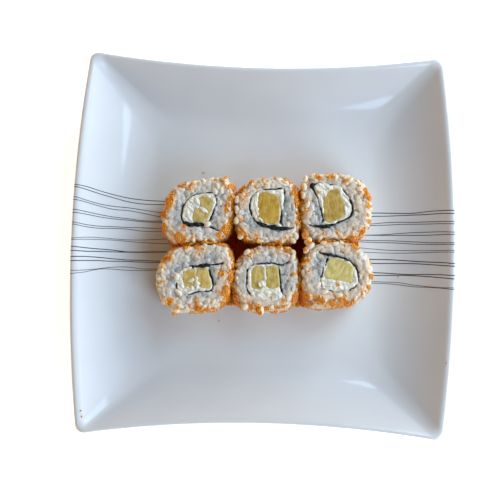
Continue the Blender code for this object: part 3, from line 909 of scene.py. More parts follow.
def make_nori(roll, bunches, covered, chance):
    """A roll's sheet, thicker where it is bunched up and sunk where cheese or rice covers it."""
    node = f"roll_{roll}_nori"
    low, high = (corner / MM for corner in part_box(node))
    middle = even_steps(sheet_line(node), NORI_STEP, False)
    along = np.gradient(middle, axis=0)
    across = np.stack((along[:, 1], -along[:, 0]), axis=1) / np.linalg.norm(along, axis=1, keepdims=True)
    line = middle + across * layered(middle, SHEET_WANDER)[:, None]
    thickness = np.maximum(NORI_THICKNESS * (1 + layered(middle, SHEET_UNEVEN)), THINNEST_NORI)
    thickness += sum(extra * near(line, x, y, reach) for x, y, reach, extra in bunches)
    thickness[[0, -1]] *= TIP_THICKNESS
    half = across * thickness[:, None] / 2
    loop = np.vstack((line + half, (line - half)[::-1]))
    if turned_area(loop) < 0:
        loop = loop[::-1]

    def top_at(points, _):
        heights = high.z - CUT_DROP + layered(points, CUT_RELIEF)
        for x, y, reach, extra in bunches:
            heights += min(extra, TALLEST_BUNCH) * near(points, x, y, reach)
        heights -= sum(SHEET_SINK * near(points, x, y, reach) for x, y, reach, _ in covered)
        return heights

    walls = [straight_wall(loop, high.z, low.z, SHEET_FRACTIONS)]
    points, faces = raised(walls, NORI_STEP, top_at, chance)
    piece(f"{node}_sheet", points, faces, nori_sheet, "nori", [node], sharp_from=50)


print("away from its ends a sheet is at least", THINNEST_NORI, "mm thick")

# %% Where the sheets are bunched up or covered
# Where a sheet is bunched up or folded double: x, y, reach and how much thicker it is there
NORI_THICK = {
    "back_left": ((-46.0, 9.6, 4.5, 2.0), (-40.0, 8.8, 5.0, 2.2), (-31.5, 26.5, 2.0, 0.9)),
    "back_middle": (
        (-1.0, 9.8, 4.5, 2.0), (6.0, 8.6, 4.0, 2.6), (12.0, 8.0, 4.0, 2.0), (10.8, 11.5, 2.0, 1.2)),
    "back_right": (
        (29.6, 33.8, 2.8, 3.0), (38.0, 10.0, 4.5, 2.2), (33.0, 9.8, 3.0, 0.9), (54.0, 17.5, 2.0, 1.1)),
    "front_left": ((-36.0, -16.0, 5.0, 1.8), (-44.5, -17.3, 4.0, 1.6)),
    "front_middle": ((4.0, -13.8, 6.0, 0.4), (-9.0, -18.5, 2.0, 0.5)),
    "front_right": ((41.0, -8.5, 4.5, 1.2), (49.0, -10.8, 4.0, 0.7)),
}
# Where cheese was pressed over a sheet: x, y, reach and how far it spreads
CHEESE_OVER = {
    "back_left": (
        (-38.0, 28.6, 3.5, 0.5), (-43.6, 26.7, 3.5, 0.4), (-29.8, 22.3, 3.4, 0.5), (-47.6, 24.6, 1.8, 0.3)),
    "back_middle": (
        (-8.5, 14.0, 2.5, 0.8), (-5.8, 28.0, 3.6, 0.5), (11.8, 24.6, 4.6, 0.5), (-2.7, 31.0, 2.6, 0.4)),
    "back_right": (
        (36.0, 36.0, 4.0, 1.4), (45.0, 34.4, 4.5, 1.3), (51.5, 27.5, 2.0, 0.6), (33.9, 23.2, 3.4, 0.6)),
    "front_left": ((-50.0, -22.0, 3.4, 0.9), (-36.0, -33.2, 2.5, 0.7), (-45.9, -17.8, 3.0, 0.5)),
    "front_middle": (
        (-2.0, -35.5, 4.5, 1.5), (4.5, -36.8, 5.0, 1.8), (11.0, -35.0, 3.5, 1.2), (-9.5, -28.5, 2.5, 0.8),
        (-7.6, -16.0, 2.8, 0.4), (-5.4, -34.6, 3.0, 0.8)),
    "front_right": (
        (45.0, -30.2, 4.5, 1.1), (38.0, -29.5, 3.0, 1.0), (57.5, -24.5, 2.0, 0.8), (35.2, -24.0, 3.2, 0.8)),
}
# Where rice was pressed over a sheet, in the same way
RICE_OVER = {
    "back_left": (),
    "back_middle": (),
    "back_right": ((30.8, 26.0, 2.5, 0.6),),
    "front_left": ((-47.8, -34.3, 4.0, 1.6), (-51.8, -24.5, 3.0, 1.5), (-49.0, -20.5, 1.8, 1.2)),
    "front_middle": (),
    "front_right": ((36.3, -28.5, 2.2, 0.8), (50.5, -30.2, 2.5, 0.8)),
}
print(sum(len(spots) for spots in NORI_THICK.values()), "places where a sheet is thicker")

# %% [markdown]
# ## Cream cheese and fruit
#
# The cheese was spread on the sheet with a knife and pressed round the fruit, so it fills whatever the batons
# leave and bulges where the knife cut it. The fruit was cut into batons: its sides are flat, its corners worn
# and its cut face shows the fibres. Both are raised on the frame's outlines, grown until they touch.

# %% Make the cheese
CHEESE_STEP = 0.5
CHEESE_GROW = 0.3
FILLING_FRACTIONS = (0.0, 0.02, 0.06, 0.3, 1.0)
CHEESE_SMOOTHING = 3
# An outline with fewer corners than this is a speck
FEWEST_CORNERS = 5
# The noise that moves its outline, the noises of its lumps, and the height and the size of its folds
CHEESE_EDGE = (0.45, 1.7, 0.0)
CHEESE_LUMPS = ((0.45, 3.2, 0.0), (0.3, 1.1, 4.0))
FOLD_HEIGHT = 0.35
FOLD_SIZE = 2.6
CHEESE_RISE = 0.2
# How far the face drops at its rim, and over what width
CHEESE_RIM = (0.45, 0.7)


def spread_over(loop, spots):
    """An outline that bulges out of its solid near some spots."""
    return loop + side_of(loop) * sum(far * near(loop, x, y, reach) for x, y, reach, far in spots)[:, None]


def worn(to_rim, drop, width):
    """How far a cut face drops towards its rim, where it is rounded over a width."""
    return drop * np.clip(1 - to_rim / width, 0, 1) ** 2


def make_cheese(roll, spots, seed, chance):
    """The cheese of a roll, folded and lumpy where it was cut. Its outline bulges near the spots."""
    node = f"roll_{roll}_cheese"
    low, high = (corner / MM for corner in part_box(node))
    loops = [even_steps(loop, CHEESE_STEP) for loop in level_outlines(node) if len(loop) >= FEWEST_CORNERS]
    loops = [uneven(softened(loop, CHEESE_SMOOTHING), CHEESE_GROW, CHEESE_EDGE, seed) for loop in loops]
    loops = [spread_over(loop, spots) if turned_area(loop) > 0 else loop for loop in loops]

    def top_at(points, to_rim):
        folds = FOLD_HEIGHT * (1 - np.abs(wave(points, FOLD_SIZE, seed + 7)) * 2)
        lumps = layered(points, CHEESE_LUMPS, seed)
        return high.z + CHEESE_RISE + folds + lumps - worn(to_rim, *CHEESE_RIM)

    walls = [straight_wall(loop, high.z, low.z, FILLING_FRACTIONS) for loop in loops]
    points, faces = raised(walls, CHEESE_STEP, top_at, chance)
    piece(f"{node}_body", points, faces, cream_cheese, "cheese", [node], sharp_from=70)
    return points, faces


print("the cheese drops by", worn(0.0, *CHEESE_RIM), "mm at its rim")

# %% Make the fruit
FRUIT_GROW = 0.3
FRUIT_EDGE = (0.3, 2.2, 0.0)
# A corner is made crisper by moving it away from where this much smoothing would take it
CORNER_CRISPNESS = 1.5
CORNER_SMOOTHING = 10
FIBRE_STRETCH = 0.25
FIBRE_RELIEF = (0.16, 0.9, 0.0)
FLESH_RELIEF = (0.3, 3.5, 2.0)
FRUIT_RISE = 0.1
FRUIT_RIM = (0.3, 0.8)
# A painted highlight along the cut's edge: how wide it is and how strong
EDGE_HIGHLIGHT_WIDTH = 1.1
EDGE_HIGHLIGHT = 0.7


def make_fruit(node, flesh, heading, seed, chance):
    """A baton of fruit, with fibres along a heading and a painted highlight along its edge."""
    low, high = (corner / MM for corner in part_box(node))
    loop = even_steps(level_outlines(node)[0], CHEESE_STEP)
    loop = loop + CORNER_CRISPNESS * (loop - softened(loop, CORNER_SMOOTHING))
    loop = uneven(softened(loop, 1), FRUIT_GROW, FRUIT_EDGE, seed)
    turn = math.radians(heading)
    grain = np.array(((math.cos(turn), math.sin(turn)), (-math.sin(turn), math.cos(turn))))

    def top_at(points, to_rim):
        along_fibres = points @ grain.T * np.array((FIBRE_STRETCH, 1.0))
        relief = layered(along_fibres, [FIBRE_RELIEF], seed) + layered(points, [FLESH_RELIEF], seed)
        return high.z + FRUIT_RISE + relief - worn(to_rim, *FRUIT_RIM)

    walls = [straight_wall(loop, high.z, low.z, FILLING_FRACTIONS)]
    points, faces = raised(walls, CHEESE_STEP, top_at, chance)
    edge = EDGE_HIGHLIGHT * np.clip(1 - reach_to(points[:, :2], loop) / EDGE_HIGHLIGHT_WIDTH, 0, 1)
    piece(f"{node}_baton", points, faces, flesh, "fruit", [node], sharp_from=70, edge=edge)
    return points, faces


print("the fruit drops by", worn(0.0, *FRUIT_RIM), "mm at its rim")

# %% [markdown]
# ## Smears
#
# The knife drags cheese along with it, so thin ridges of it lie over the fruit, over the sheet and in the gap
# between two batons. Each ridge follows a stroke from one place to another. At every step the nearest surface
# is looked up, and a ring of eight points is set round that spot, wide in the middle and thin at the ends.

# %% Draw the smears
SMEAR_STEP = 0.45
FEWEST_RINGS = 6
SMEAR_SIDES = 8
# How thick a smear is, as a share of its width, and how wide its ends are, as a share of its middle
SMEAR_RISE = 0.22
SMEAR_TIP = 0.2
# How far a smear wanders and how much its width varies, each with the size of its noise
SMEAR_WANDER = (0.7, 2.0)
SMEAR_SWELL = (0.9, 1.3)
SMEAR_LIFT = 0.15
# Nothing on the rolls may stand higher than this
HIGHEST = 36.9


def smear_rings(stroke, top, face_tree, seed):
    """The rings of points of one smear, from its start to its end."""
    x0, y0, x1, y1, width = stroke
    length = math.hypot(x1 - x0, y1 - y0)
    across = np.array((y0 - y1, x1 - x0)) / length
    turns = np.arange(SMEAR_SIDES) * math.tau / SMEAR_SIDES
    rings = []
    for t in np.linspace(0, 1, max(FEWEST_RINGS, round(length / SMEAR_STEP))):
        middle = np.array((x0 + (x1 - x0) * t, y0 + (y1 - y0) * t))
        middle += across * SMEAR_WANDER[0] * noise.noise(Vector((*middle, seed)) / SMEAR_WANDER[1])
        swell = 1 + SMEAR_SWELL[0] * noise.noise(Vector((*middle, seed)) / SMEAR_SWELL[1])
        reach = width / 2 * swell * (SMEAR_TIP + (1 - SMEAR_TIP) * math.sqrt(math.sin(math.pi * t)))
        ground = face_tree.find_nearest(Vector((*middle, top + 0.5)))[0].z
        heights = ground + reach * 2 * SMEAR_RISE * np.sin(turns)
        heights += SMEAR_LIFT * noise.noise(Vector((*middle, 9.0)))
        ring = middle + across * reach * np.cos(turns)[:, None]
        rings.append(np.column_stack((ring, np.minimum(heights, HIGHEST))))
    return rings


def make_smears(roll, top, face_tree, strokes, seed):
    """Ridges of cheese on a roll's cut face. A stroke is x and y of its start, of its end, and its width."""
    rings, faces = [], []
    for stroke in strokes:
        first = len(rings) * SMEAR_SIDES
        rings += smear_rings(stroke, top, face_tree, seed)
        last = (len(rings) - 1) * SMEAR_SIDES
        for row in range(first, last, SMEAR_SIDES):
            faces += ring_faces(row, row + SMEAR_SIDES, SMEAR_SIDES)
        faces += [tuple(range(first, first + SMEAR_SIDES))[::-1], tuple(range(last, last + SMEAR_SIDES))]
    piece(f"roll_{roll}_cheese_smears", np.vstack(rings), faces, cream_cheese, "cheese")


test_smear = smear_rings((0.0, 0.0, 5.0, 0.0, 2.0), FLOOR_HEIGHT, plate_tree, 1.0)
print("a smear of 5 mm has", len(test_smear), "rings")

# %% The knife's strokes
STROKES = {
    "back_left": (
        (-42.8, 25.9, -39.8, 20.7, 1.7), (-46.0, 24.5, -40.7, 18.8, 1.6), (-47.2, 20.6, -42.9, 16.8, 1.8),
        (-48.3, 15.4, -43.7, 10.3, 1.8), (-49.5, 13.4, -45.6, 10.3, 1.3), (-39.5, 20.4, -34.5, 15.7, 2.3),
        (-37.4, 28.2, -31.6, 26.1, 1.5), (-31.9, 27.1, -29.0, 25.5, 2.0), (-44.1, 23.2, -42.6, 18.7, 1.5)),
    "back_middle": (
        (-5.8, 25.2, -3.7, 15.0, 2.1), (1.5, 30.0, 9.8, 28.8, 1.9), (9.8, 30.1, 11.4, 19.0, 2.0),
        (-4.1, 14.1, 0.1, 10.9, 1.6), (7.2, 10.2, 10.2, 9.6, 1.2)),
    "back_right": (
        (30.9, 34.3, 35.6, 28.8, 2.2), (32.8, 35.3, 38.4, 32.6, 2.4), (46.7, 29.1, 52.3, 21.8, 1.9),
        (49.5, 22.6, 50.5, 15.2, 1.9), (34.7, 27.9, 35.8, 20.5, 1.4), (37.5, 34.5, 42.0, 32.0, 1.9)),
    "front_left": (
        (-49.1, -19.6, -45.9, -17.7, 2.0), (-50.2, -27.4, -46.4, -32.7, 2.2),
        (-47.4, -30.0, -38.3, -30.7, 2.2), (-41.0, -30.8, -31.9, -30.6, 2.0),
        (-40.0, -22.5, -39.8, -30.4, 2.6), (-45.5, -25.8, -41.5, -24.6, 1.8),
        (-41.5, -28.0, -38.0, -30.4, 3.0), (-48.8, -17.9, -41.0, -17.2, 1.6)),
    "front_middle": (
        (1.0, -15.8, 1.6, -27.2, 1.5), (-2.4, -27.2, 1.2, -25.6, 3.4), (-6.4, -30.1, 10.1, -33.4, 2.4),
        (-4.5, -32.8, 1.0, -35.4, 2.2), (-8.5, -18.2, -7.3, -29.2, 1.8), (-5.8, -15.4, 9.7, -14.8, 1.4),
        (6.4, -32.5, 11.5, -34.3, 2.2)),
    "front_right": (
        (36.4, -23.7, 54.7, -25.6, 2.0), (36.4, -26.4, 52.9, -28.8, 2.4), (55.2, -16.9, 57.4, -24.2, 1.9),
        (38.2, -12.8, 36.9, -21.0, 1.1)),
}
print(sum(len(strokes) for strokes in STROKES.values()), "smears of cheese")

# %% [markdown]
# ## Rice
#
# A piece of roll holds several hundred cooked grains. Inside they are pressed into one mass, and only the
# outermost keep their own form. So the rice is two pieces: a core with a bore for the filling, whose cut face
# has the low relief of sliced grains, and whole grains laid over its side and its rim. The core's side is
# found by ray casts from outside onto the frame's rice, then drawn in by somewhat less than half a grain's
# thickness.

# %% Measure the rice's side
SKIN_ANGLES = 180
ALL_ROUND = np.arange(SKIN_ANGLES) * math.tau / SKIN_ANGLES
SKIN_LEVELS = np.array((1.0, 0.985, 0.96, 0.92, 0.86, 0.78, 0.68, 0.56, 0.44, 0.32, 0.2, 0.1, 0.04, 0.0))
# The rays start this far from the middle and keep this far from the upper and the lower edge
RAY_REACH = 60.0
EDGE_MARGIN = 0.1
FACE_RELIEF = 0.8
# A direction that reaches this much further than five on either side of it is cut back
SPIKE_SPAN = 5
SPIKE_RISE = 0.5


def top_level(points):
    """The height of the cut face: where most of the highest points lie."""
    heights = points[:, 2]
    return float(np.median(heights[heights > heights.max() - FACE_RELIEF]))


def measure_skin(node):
    """The centre of a roll, its lowest and its upper level, and how far its side lies from the centre.

    The last is an array with a row for each level and a column for each angle."""
    points, faces = frame_mesh(node)
    tree = search_tree(points, faces)
    bottom, top = points[:, 2].min(), top_level(points)
    centre = (points.min(axis=0)[:2] + points.max(axis=0)[:2]) / 2
    radii = np.zeros((len(SKIN_LEVELS), SKIN_ANGLES))
    for row, level in enumerate(SKIN_LEVELS):
        height = bottom + EDGE_MARGIN + level * (top - bottom - 2 * EDGE_MARGIN)
        for column, angle in enumerate(ALL_ROUND):
            out = Vector((math.cos(angle), math.sin(angle), 0.0))
            start = Vector((*centre, height)) + out * RAY_REACH
            radii[row, column] = RAY_REACH - (start - tree.ray_cast(start, -out)[0]).length
    beside = np.stack([np.roll(radii, shift, axis=1) for shift in range(-SPIKE_SPAN, SPIKE_SPAN + 1)])
    radii = np.minimum(radii, np.median(beside, axis=0) + SPIKE_RISE)
    return centre, bottom, top, radii


test_skin = measure_skin("roll_back_left_rice")
print("the back left roll reaches", test_skin[3].mean().round(1), "mm from its centre")

# %% Points on the side
# The side's direction is taken over this much of an angle and of a level
ANGLE_STEP = 0.06
LEVEL_STEP = 0.03


def skin_points(skin, angles, levels):
    """Points on a roll's side and the directions that face out there."""
    centre, bottom, top, radii = skin

    def at(angles, levels):
        columns = (angles / math.tau * SKIN_ANGLES) % SKIN_ANGLES
        rows = np.interp(levels, SKIN_LEVELS[::-1], np.arange(len(SKIN_LEVELS))[::-1])
        left = np.floor(columns).astype(int)
        upper = np.minimum(np.floor(rows).astype(int), len(SKIN_LEVELS) - 2)
        across, down = columns - left, rows - upper
        right = (left + 1) % SKIN_ANGLES
        left = left % SKIN_ANGLES
        reach = (radii[upper, left] * (1 - across) + radii[upper, right] * across) * (1 - down)
        reach += (radii[upper + 1, left] * (1 - across) + radii[upper + 1, right] * across) * down
        return np.stack((
            centre[0] + reach * np.cos(angles),
            centre[1] + reach * np.sin(angles),
            bottom + levels * (top - bottom),
        ), axis=1)

    places = at(angles, levels)
    turn = at(angles + ANGLE_STEP, levels) - at(angles - ANGLE_STEP, levels)
    rise = at(angles, np.minimum(levels + LEVEL_STEP, 1.0)) - at(angles, np.maximum(levels - LEVEL_STEP, 0.0))
    out = np.cross(turn, rise)
    return places, out / np.linalg.norm(out, axis=1, keepdims=True)


def skin_ring(skin, level):
    """The points of a roll's side at one level, one for each angle."""
    return skin_points(skin, ALL_ROUND, np.full(SKIN_ANGLES, level))[0]


print("the back left roll's rim is", np.ptp(skin_ring(test_skin, 1.0)[:, 0]).round(1), "mm wide")

# %% Slice the grains of the cut face
SLICE_TRIALS = 1500
SLICE_GAP = 2.5
# A slice's half length and half width, as shares of a grain's length and width
SLICE_LENGTH = (0.3, 0.5)
SLICE_WIDTH = 0.55
SLICE_LEVEL = (-0.35, 0.3)
DOME_RISE = 0.6
GROOVE = -0.45


def spread_out(points, gap):
    """The indices of those points that keep a gap to all that were kept before."""
    cells, kept = {}, []
    for i, key in enumerate(map(tuple, np.floor(points / gap).astype(int))):
        around = [j for a in (-1, 0, 1) for b in (-1, 0, 1) for c in (-1, 0, 1)
                  for j in cells.get((key[0] + a, key[1] + b, key[2] + c), ())]
        if around and ((points[around] - points[i]) ** 2).sum(axis=1).min() < gap * gap:
            continue
        cells.setdefault(key, []).append(i)
        kept.append(i)
    return kept


def sliced_grains(points, outline, chance):
    """The relief of a cut face, and a number from 0 to 1 for the grain that each point belongs to.

    Each sliced grain is a flat dome, and the highest one at a point counts."""
    seeds = chance.uniform(outline.min(axis=0), outline.max(axis=0), (SLICE_TRIALS, 2))
    seeds = seeds[spread_out(lift(seeds), SLICE_GAP)]
    turns = chance.uniform(0, math.pi, len(seeds))
    lengths = chance.uniform(*SLICE_LENGTH, len(seeds)) * GRAIN_LENGTH
    levels = chance.uniform(*SLICE_LEVEL, len(seeds))
    tones = chance.uniform(0, 1, len(seeds))
    away = points[:, None, :] - seeds[None, :, :]
    along = away[..., 0] * np.cos(turns) + away[..., 1] * np.sin(turns)
    beside = away[..., 1] * np.cos(turns) - away[..., 0] * np.sin(turns)
    dome = 1 - (along / lengths) ** 2 - (beside / (GRAIN_WIDTH * SLICE_WIDTH)) ** 2
    domes = np.where(dome > 0, levels + DOME_RISE * np.sqrt(np.maximum(dome, 0)), GROOVE)
    return domes.max(axis=1), tones[domes.argmax(axis=1)]


test_relief, _ = sliced_grains(four_places, np.array(((-9.0, -9.0), (9.0, 9.0))), np.random.default_rng(1))
print("the relief of a test face at four places:", test_relief.round(2))

# %% Where the oil has spread with a painted glow, and where the cut face takes painted shade
# Where the oil has spread far into the rice, and the light through the roe is painted there as a glow:
# x, y and reach
WASHES_AND_GLOWS = {
    "back_left": ((-21.0, 20.0, 8.0), (-23.0, 8.0, 8.0), (-60.0, 22.0, 6.0), (-57.0, 5.0, 6.0)),
    "back_middle": ((18.0, 6.0, 7.0), (-12.0, 4.0, 6.0), (19.5, 30.0, 5.0)),
    "back_right": (
        (62.0, 22.0, 11.0), (58.0, 8.0, 10.0), (45.0, 40.0, 9.0), (57.0, 34.0, 10.0), (33.0, 1.0, 8.0),
        (29.0, 38.0, 8.0)),
    "front_left": ((-23.0, -30.0, 9.0), (-30.0, -41.0, 8.0), (-40.0, -6.0, 8.0), (-22.0, -15.0, 7.0)),
    "front_middle": ((-15.0, -36.0, 8.0), (0.0, -41.0, 8.0), (17.0, -36.0, 7.0)),
    "front_right": (
        (61.0, -19.0, 11.0), (42.0, -35.0, 13.0), (27.0, -33.0, 10.0), (56.0, -35.0, 12.0),
        (52.0, -4.0, 9.0), (36.0, -2.0, 8.0)),
}
# Where the cut face is painted clearer and darker, as painted shade: x, y and reach
PAINTED_SHADE_SPOTS = {
    "back_middle": ((15.0, 24.0, 6.0), (15.2, 16.0, 6.0)),
    "front_middle": ((15.4, -19.0, 5.5), (15.4, -27.0, 5.5)),
    "back_right": ((41.0, 37.0, 4.0),),
    "front_right": ((33.0, -14.0, 4.0),),
}
STAIN_AND_GLOW_REACH = 3.0
CLUSTER_STAIN_AND_GLOW = 0.58
WASH_STAIN_AND_GLOW = 0.34


def stain_at(points, clusters, washes_and_glows):
    """Oil stain and painted glow of the roe's light at each point, from 0 to 1: most round clusters of roe.
    """
    stains = [CLUSTER_STAIN_AND_GLOW * near(points, x, y, reach + STAIN_AND_GLOW_REACH) for x, y, reach in clusters]
    stains += [WASH_STAIN_AND_GLOW * near(points, x, y, reach) for x, y, reach in washes_and_glows]
    return np.max(stains, axis=0)


print(sum(len(spots) for spots in WASHES_AND_GLOWS.values()), "places where the oil has spread")

# %% Make the rice core
FACE_STEP = 0.47
CORE_DEPTH = 1.1
CORE_DENTS = (0.3, 2.4, 1.0)
BORE_SMOOTHING = 2
BORE_GROW = 0.25
BORE_EDGE = (0.4, 1.5, 2.0)
BORE_FRACTIONS = (0.0, 0.04, 0.3, 1.0)
FACE_DROP = 0.3
RELIEF_RISE = 1.05
FACE_GRIT = (0.22, 1.0, 2.0)
FACE_RIM = (0.4, 0.6)
# The rice grows clearer from the side inwards, and this is how clear its cloudiest grains still are
CLEAR_FROM_SIDE = 6.5
LEAST_CLEAR = 0.25
# The rim takes a faint stain and painted glow all round, and neither reaches further down than this
RIM_STAIN_AND_GLOW = 0.12
RIM_STAIN_AND_GLOW_WIDTH = 5
STAIN_AND_GLOW_DEPTH = 6


def make_rice_core(roll, skin, spots, clusters, washes_and_glows, chance):
    """The pressed rice of a roll, with its bore. Its outline bulges into the bore near the spots."""
    node = f"roll_{roll}_rice"
    _, bottom, top, _ = skin
    holes = [loop for loop in level_outlines(node, lower=True) if turned_area(loop) < 0]
    bore = [softened(even_steps(loop, FACE_STEP), BORE_SMOOTHING) for loop in holes]
    bore = [uneven(loop, BORE_GROW, BORE_EDGE) for loop in bore]
    bore = [spread_over(loop, spots) if spots else loop for loop in bore]
    outward = np.column_stack((np.cos(ALL_ROUND), np.sin(ALL_ROUND), np.zeros(SKIN_ANGLES)))
    rows = []
    for level in SKIN_LEVELS:
        ring = skin_ring(skin, level)
        rows.append(ring - outward * (CORE_DEPTH + layered(ring, [CORE_DENTS]))[:, None])
    rim = rows[0][:, :2]
    walls = [rows] + [straight_wall(loop, top, bottom, BORE_FRACTIONS) for loop in bore]
    tones = []

    def top_at(points, to_rim):
        relief, tone = sliced_grains(points, rim, chance)
        tones.extend(tone)
        heights = top - FACE_DROP + RELIEF_RISE * relief + layered(points, [FACE_GRIT])
        return np.minimum(heights - worn(to_rim, *FACE_RIM), HIGHEST)

    points, faces = raised(walls, FACE_STEP, top_at, chance)
    to_side = reach_to(points[:, :2], rim)
    clearness = np.clip(to_side / CLEAR_FROM_SIDE, 0, 1)
    clearness[len(tones):] = 0.0
    clearness[:len(tones)] *= LEAST_CLEAR + np.array(tones)
    # Painted shade: the cut face is painted clearer and darker in some spots
    for x, y, reach in PAINTED_SHADE_SPOTS.get(roll, ()):
        clearness = np.maximum(clearness, near(points, x, y, reach) ** 0.5)
    # Stain and painted glow, faint all round the rim
    rim_stain = RIM_STAIN_AND_GLOW * np.clip(1 - to_side / RIM_STAIN_AND_GLOW_WIDTH, 0, 1)
    stain = np.maximum(stain_at(points, clusters, washes_and_glows), rim_stain) * (points[:, 2] > top - STAIN_AND_GLOW_DEPTH)
    piece(f"{node}_core", points, faces, rice_pressed, "rice", [node], sharp_from=70,
          clearness=clearness, stain=stain)
    return points, faces


print("the core lies", CORE_DEPTH, "mm under the side, give or take", CORE_DENTS[0], "mm")

# %% The form of a grain
GRAIN_SIDES = 8
GRAIN_RINGS = 6
GRAIN_CURL = 0.08
# At 2 a grain would be an ellipsoid, and above it the ends are blunter
GRAIN_BLUNTNESS = 2.3


def ball(sides, rings, profile):
    """Points and triangles of a turned form along z. The profile gives its radius from -1 to 1."""
    points = [(0.0, 0.0, -1.0)]
    heights = [-math.cos(math.pi * (k + 1) / (rings + 1)) for k in range(rings)]
    for height in heights:
        for s in range(sides):
            turn = math.tau * s / sides
            points.append((math.cos(turn) * profile(height), math.sin(turn) * profile(height), height))
    points.append((0.0, 0.0, 1.0))
    last = len(points) - 1
    faces = [(0, 1 + (s + 1) % sides, 1 + s) for s in range(sides)]
    for row in range(rings - 1):
        for s in range(sides):
            a, b = 1 + row * sides + s, 1 + row * sides + (s + 1) % sides
            faces += [(a, b, b + sides), (a, b + sides, a + sides)]
    faces += [(last, last - sides + s, last - sides + (s + 1) % sides) for s in range(sides)]
    return np.array(points) / 2, np.array(faces)


def bent(template, amount):
    """The form with its two ends moved to one side, as a grain of rice curls."""
    points, faces = template
    curled = points.copy()
    curled[:, 0] += amount * (curled[:, 2] * 2) ** 2 - amount / 3
    return curled, faces


GRAIN = bent(ball(GRAIN_SIDES, GRAIN_RINGS, lambda h: (1 - abs(h) ** GRAIN_BLUNTNESS) ** 0.5), GRAIN_CURL)
print("a grain has", len(GRAIN[1]), "triangles")


def turned_to(out, headings, tilts):
    """Axes for each copy: z along a heading across the surface, y out of it."""
    helper = np.where(np.abs(out[:, 2:3]) < 0.8, np.array([[0.0, 0.0, 1.0]]), np.array([[1.0, 0.0, 0.0]]))
    first = np.cross(helper, out)
    first /= np.linalg.norm(first, axis=1, keepdims=True)
    second = np.cross(out, first)
    along = first * np.cos(headings)[:, None] + second * np.sin(headings)[:, None]
    along = along * np.cos(tilts)[:, None] + out * np.sin(tilts)[:, None]
    side = np.cross(out, along)
    side /= np.linalg.norm(side, axis=1, keepdims=True)
    return np.stack((side, np.cross(along, side), along), axis=1)


# %% Lay whole grains
GRAIN_GAP = 2.75
GRAIN_TRIALS = 7000
GRAIN_LEVELS = (0.03, 0.97)
GRAIN_TILT = (-0.3, 0.3)
GRAIN_SIZES = (0.82, 1.1)
# The size and seed of the noise that varies the stain and painted glow on the whole grains
STAIN_AND_GLOW_PATCHES = (5.0, 2.0)
# How deep a grain's middle lies in the side: less by up to ROOMY where there is room, more by a random bit
GRAIN_SINK = 1.45
ROOMY = 0.3
ROOM_KEPT = 0.1
SUNK_MORE = (0.0, 0.4)
# Grains on the rim lie this far in from the side, and sink more the further in they lie
RIM_TRIALS = 1000
RIM_INSETS = (1.6, 6.2)
RIM_SINKS = (0.6, 1.1)
RIM_SLOPE = 0.14
# The share of its depth that a grain may stand above its middle
GRAIN_HALF = 0.55
# How much wider, deeper and longer a grain is that is named by its place
NAMED_GRAIN = (1.05, 1.05, 0.88)


def room_to(tree, points):
    """Each point's distance to the nearest face of a search tree."""
    return np.array([tree.find_nearest(Vector(p))[3] for p in points])


def grain_places(skin, others, chance):
    """Places for grains on the rim and then on the side of a roll, and the directions that face out there."""
    angles = chance.uniform(0, math.tau, GRAIN_TRIALS)
    places, out = skin_points(skin, angles, chance.uniform(*GRAIN_LEVELS, GRAIN_TRIALS))
    rim_angles = chance.uniform(0, math.tau, RIM_TRIALS)
    rims, rim_out = skin_points(skin, rim_angles, np.ones(RIM_TRIALS))
    inset = chance.uniform(*RIM_INSETS, (RIM_TRIALS, 1))
    rims[:, :2] -= rim_out[:, :2] * inset
    up = np.tile((0.0, 0.0, 1.0), (RIM_TRIALS, 1))
    room = room_to(others, places)
    sink = GRAIN_SINK - np.clip(room / 2 - ROOM_KEPT, 0.0, ROOMY) + chance.uniform(*SUNK_MORE, GRAIN_TRIALS)
    places -= out * sink[:, None]
    rims[:, 2] -= chance.uniform(*RIM_SINKS, RIM_TRIALS) + RIM_SLOPE * inset[:, 0]
    return np.vstack((rims, places)), np.vstack((up, out))


def make_grains(roll, skin, others, named, clusters, washes_and_glows, chance):
    """Whole grains over the side and the rim of a roll, after those that are named one by one."""
    top = skin[2]
    first = np.array([(x, y, top + rise) for x, y, _, rise in named])
    places, out = grain_places(skin, others, chance)
    places, out = np.vstack((first, places)), np.vstack((np.tile((0.0, 0.0, 1.0), (len(first), 1)), out))
    kept = spread_out(places, GRAIN_GAP)
    places, out = places[kept], out[kept]
    places[:, 2] = np.minimum(places[:, 2], HIGHEST - GRAIN_DEPTH * GRAIN_HALF)
    count = len(kept)
    headings, tilts = chance.uniform(0, math.tau, count), chance.uniform(*GRAIN_TILT, count)
    for i, grain in enumerate(kept):
        if grain < len(first):
            headings[i], tilts[i] = math.radians(named[grain][2] + 90), 0.0
    sizes = np.array((GRAIN_WIDTH, GRAIN_DEPTH, GRAIN_LENGTH)) * chance.uniform(*GRAIN_SIZES, (count, 3))
    sizes[np.array(kept) < len(first)] *= NAMED_GRAIN
    points, faces = joined_copies(GRAIN, places, turned_to(out, headings, tilts), sizes)
    stain = np.maximum(stain_at(points, clusters, washes_and_glows), RIM_STAIN_AND_GLOW * (1 + wave(points, *STAIN_AND_GLOW_PATCHES)))
    piece(f"roll_{roll}_rice_grains", points, faces, rice_grains, "rice", stain=stain)
    return points, faces, count


test_places, _ = grain_places(test_skin, plate_tree, np.random.default_rng(1))
print(len(spread_out(test_places, GRAIN_GAP)), "whole grains find room on a test roll")

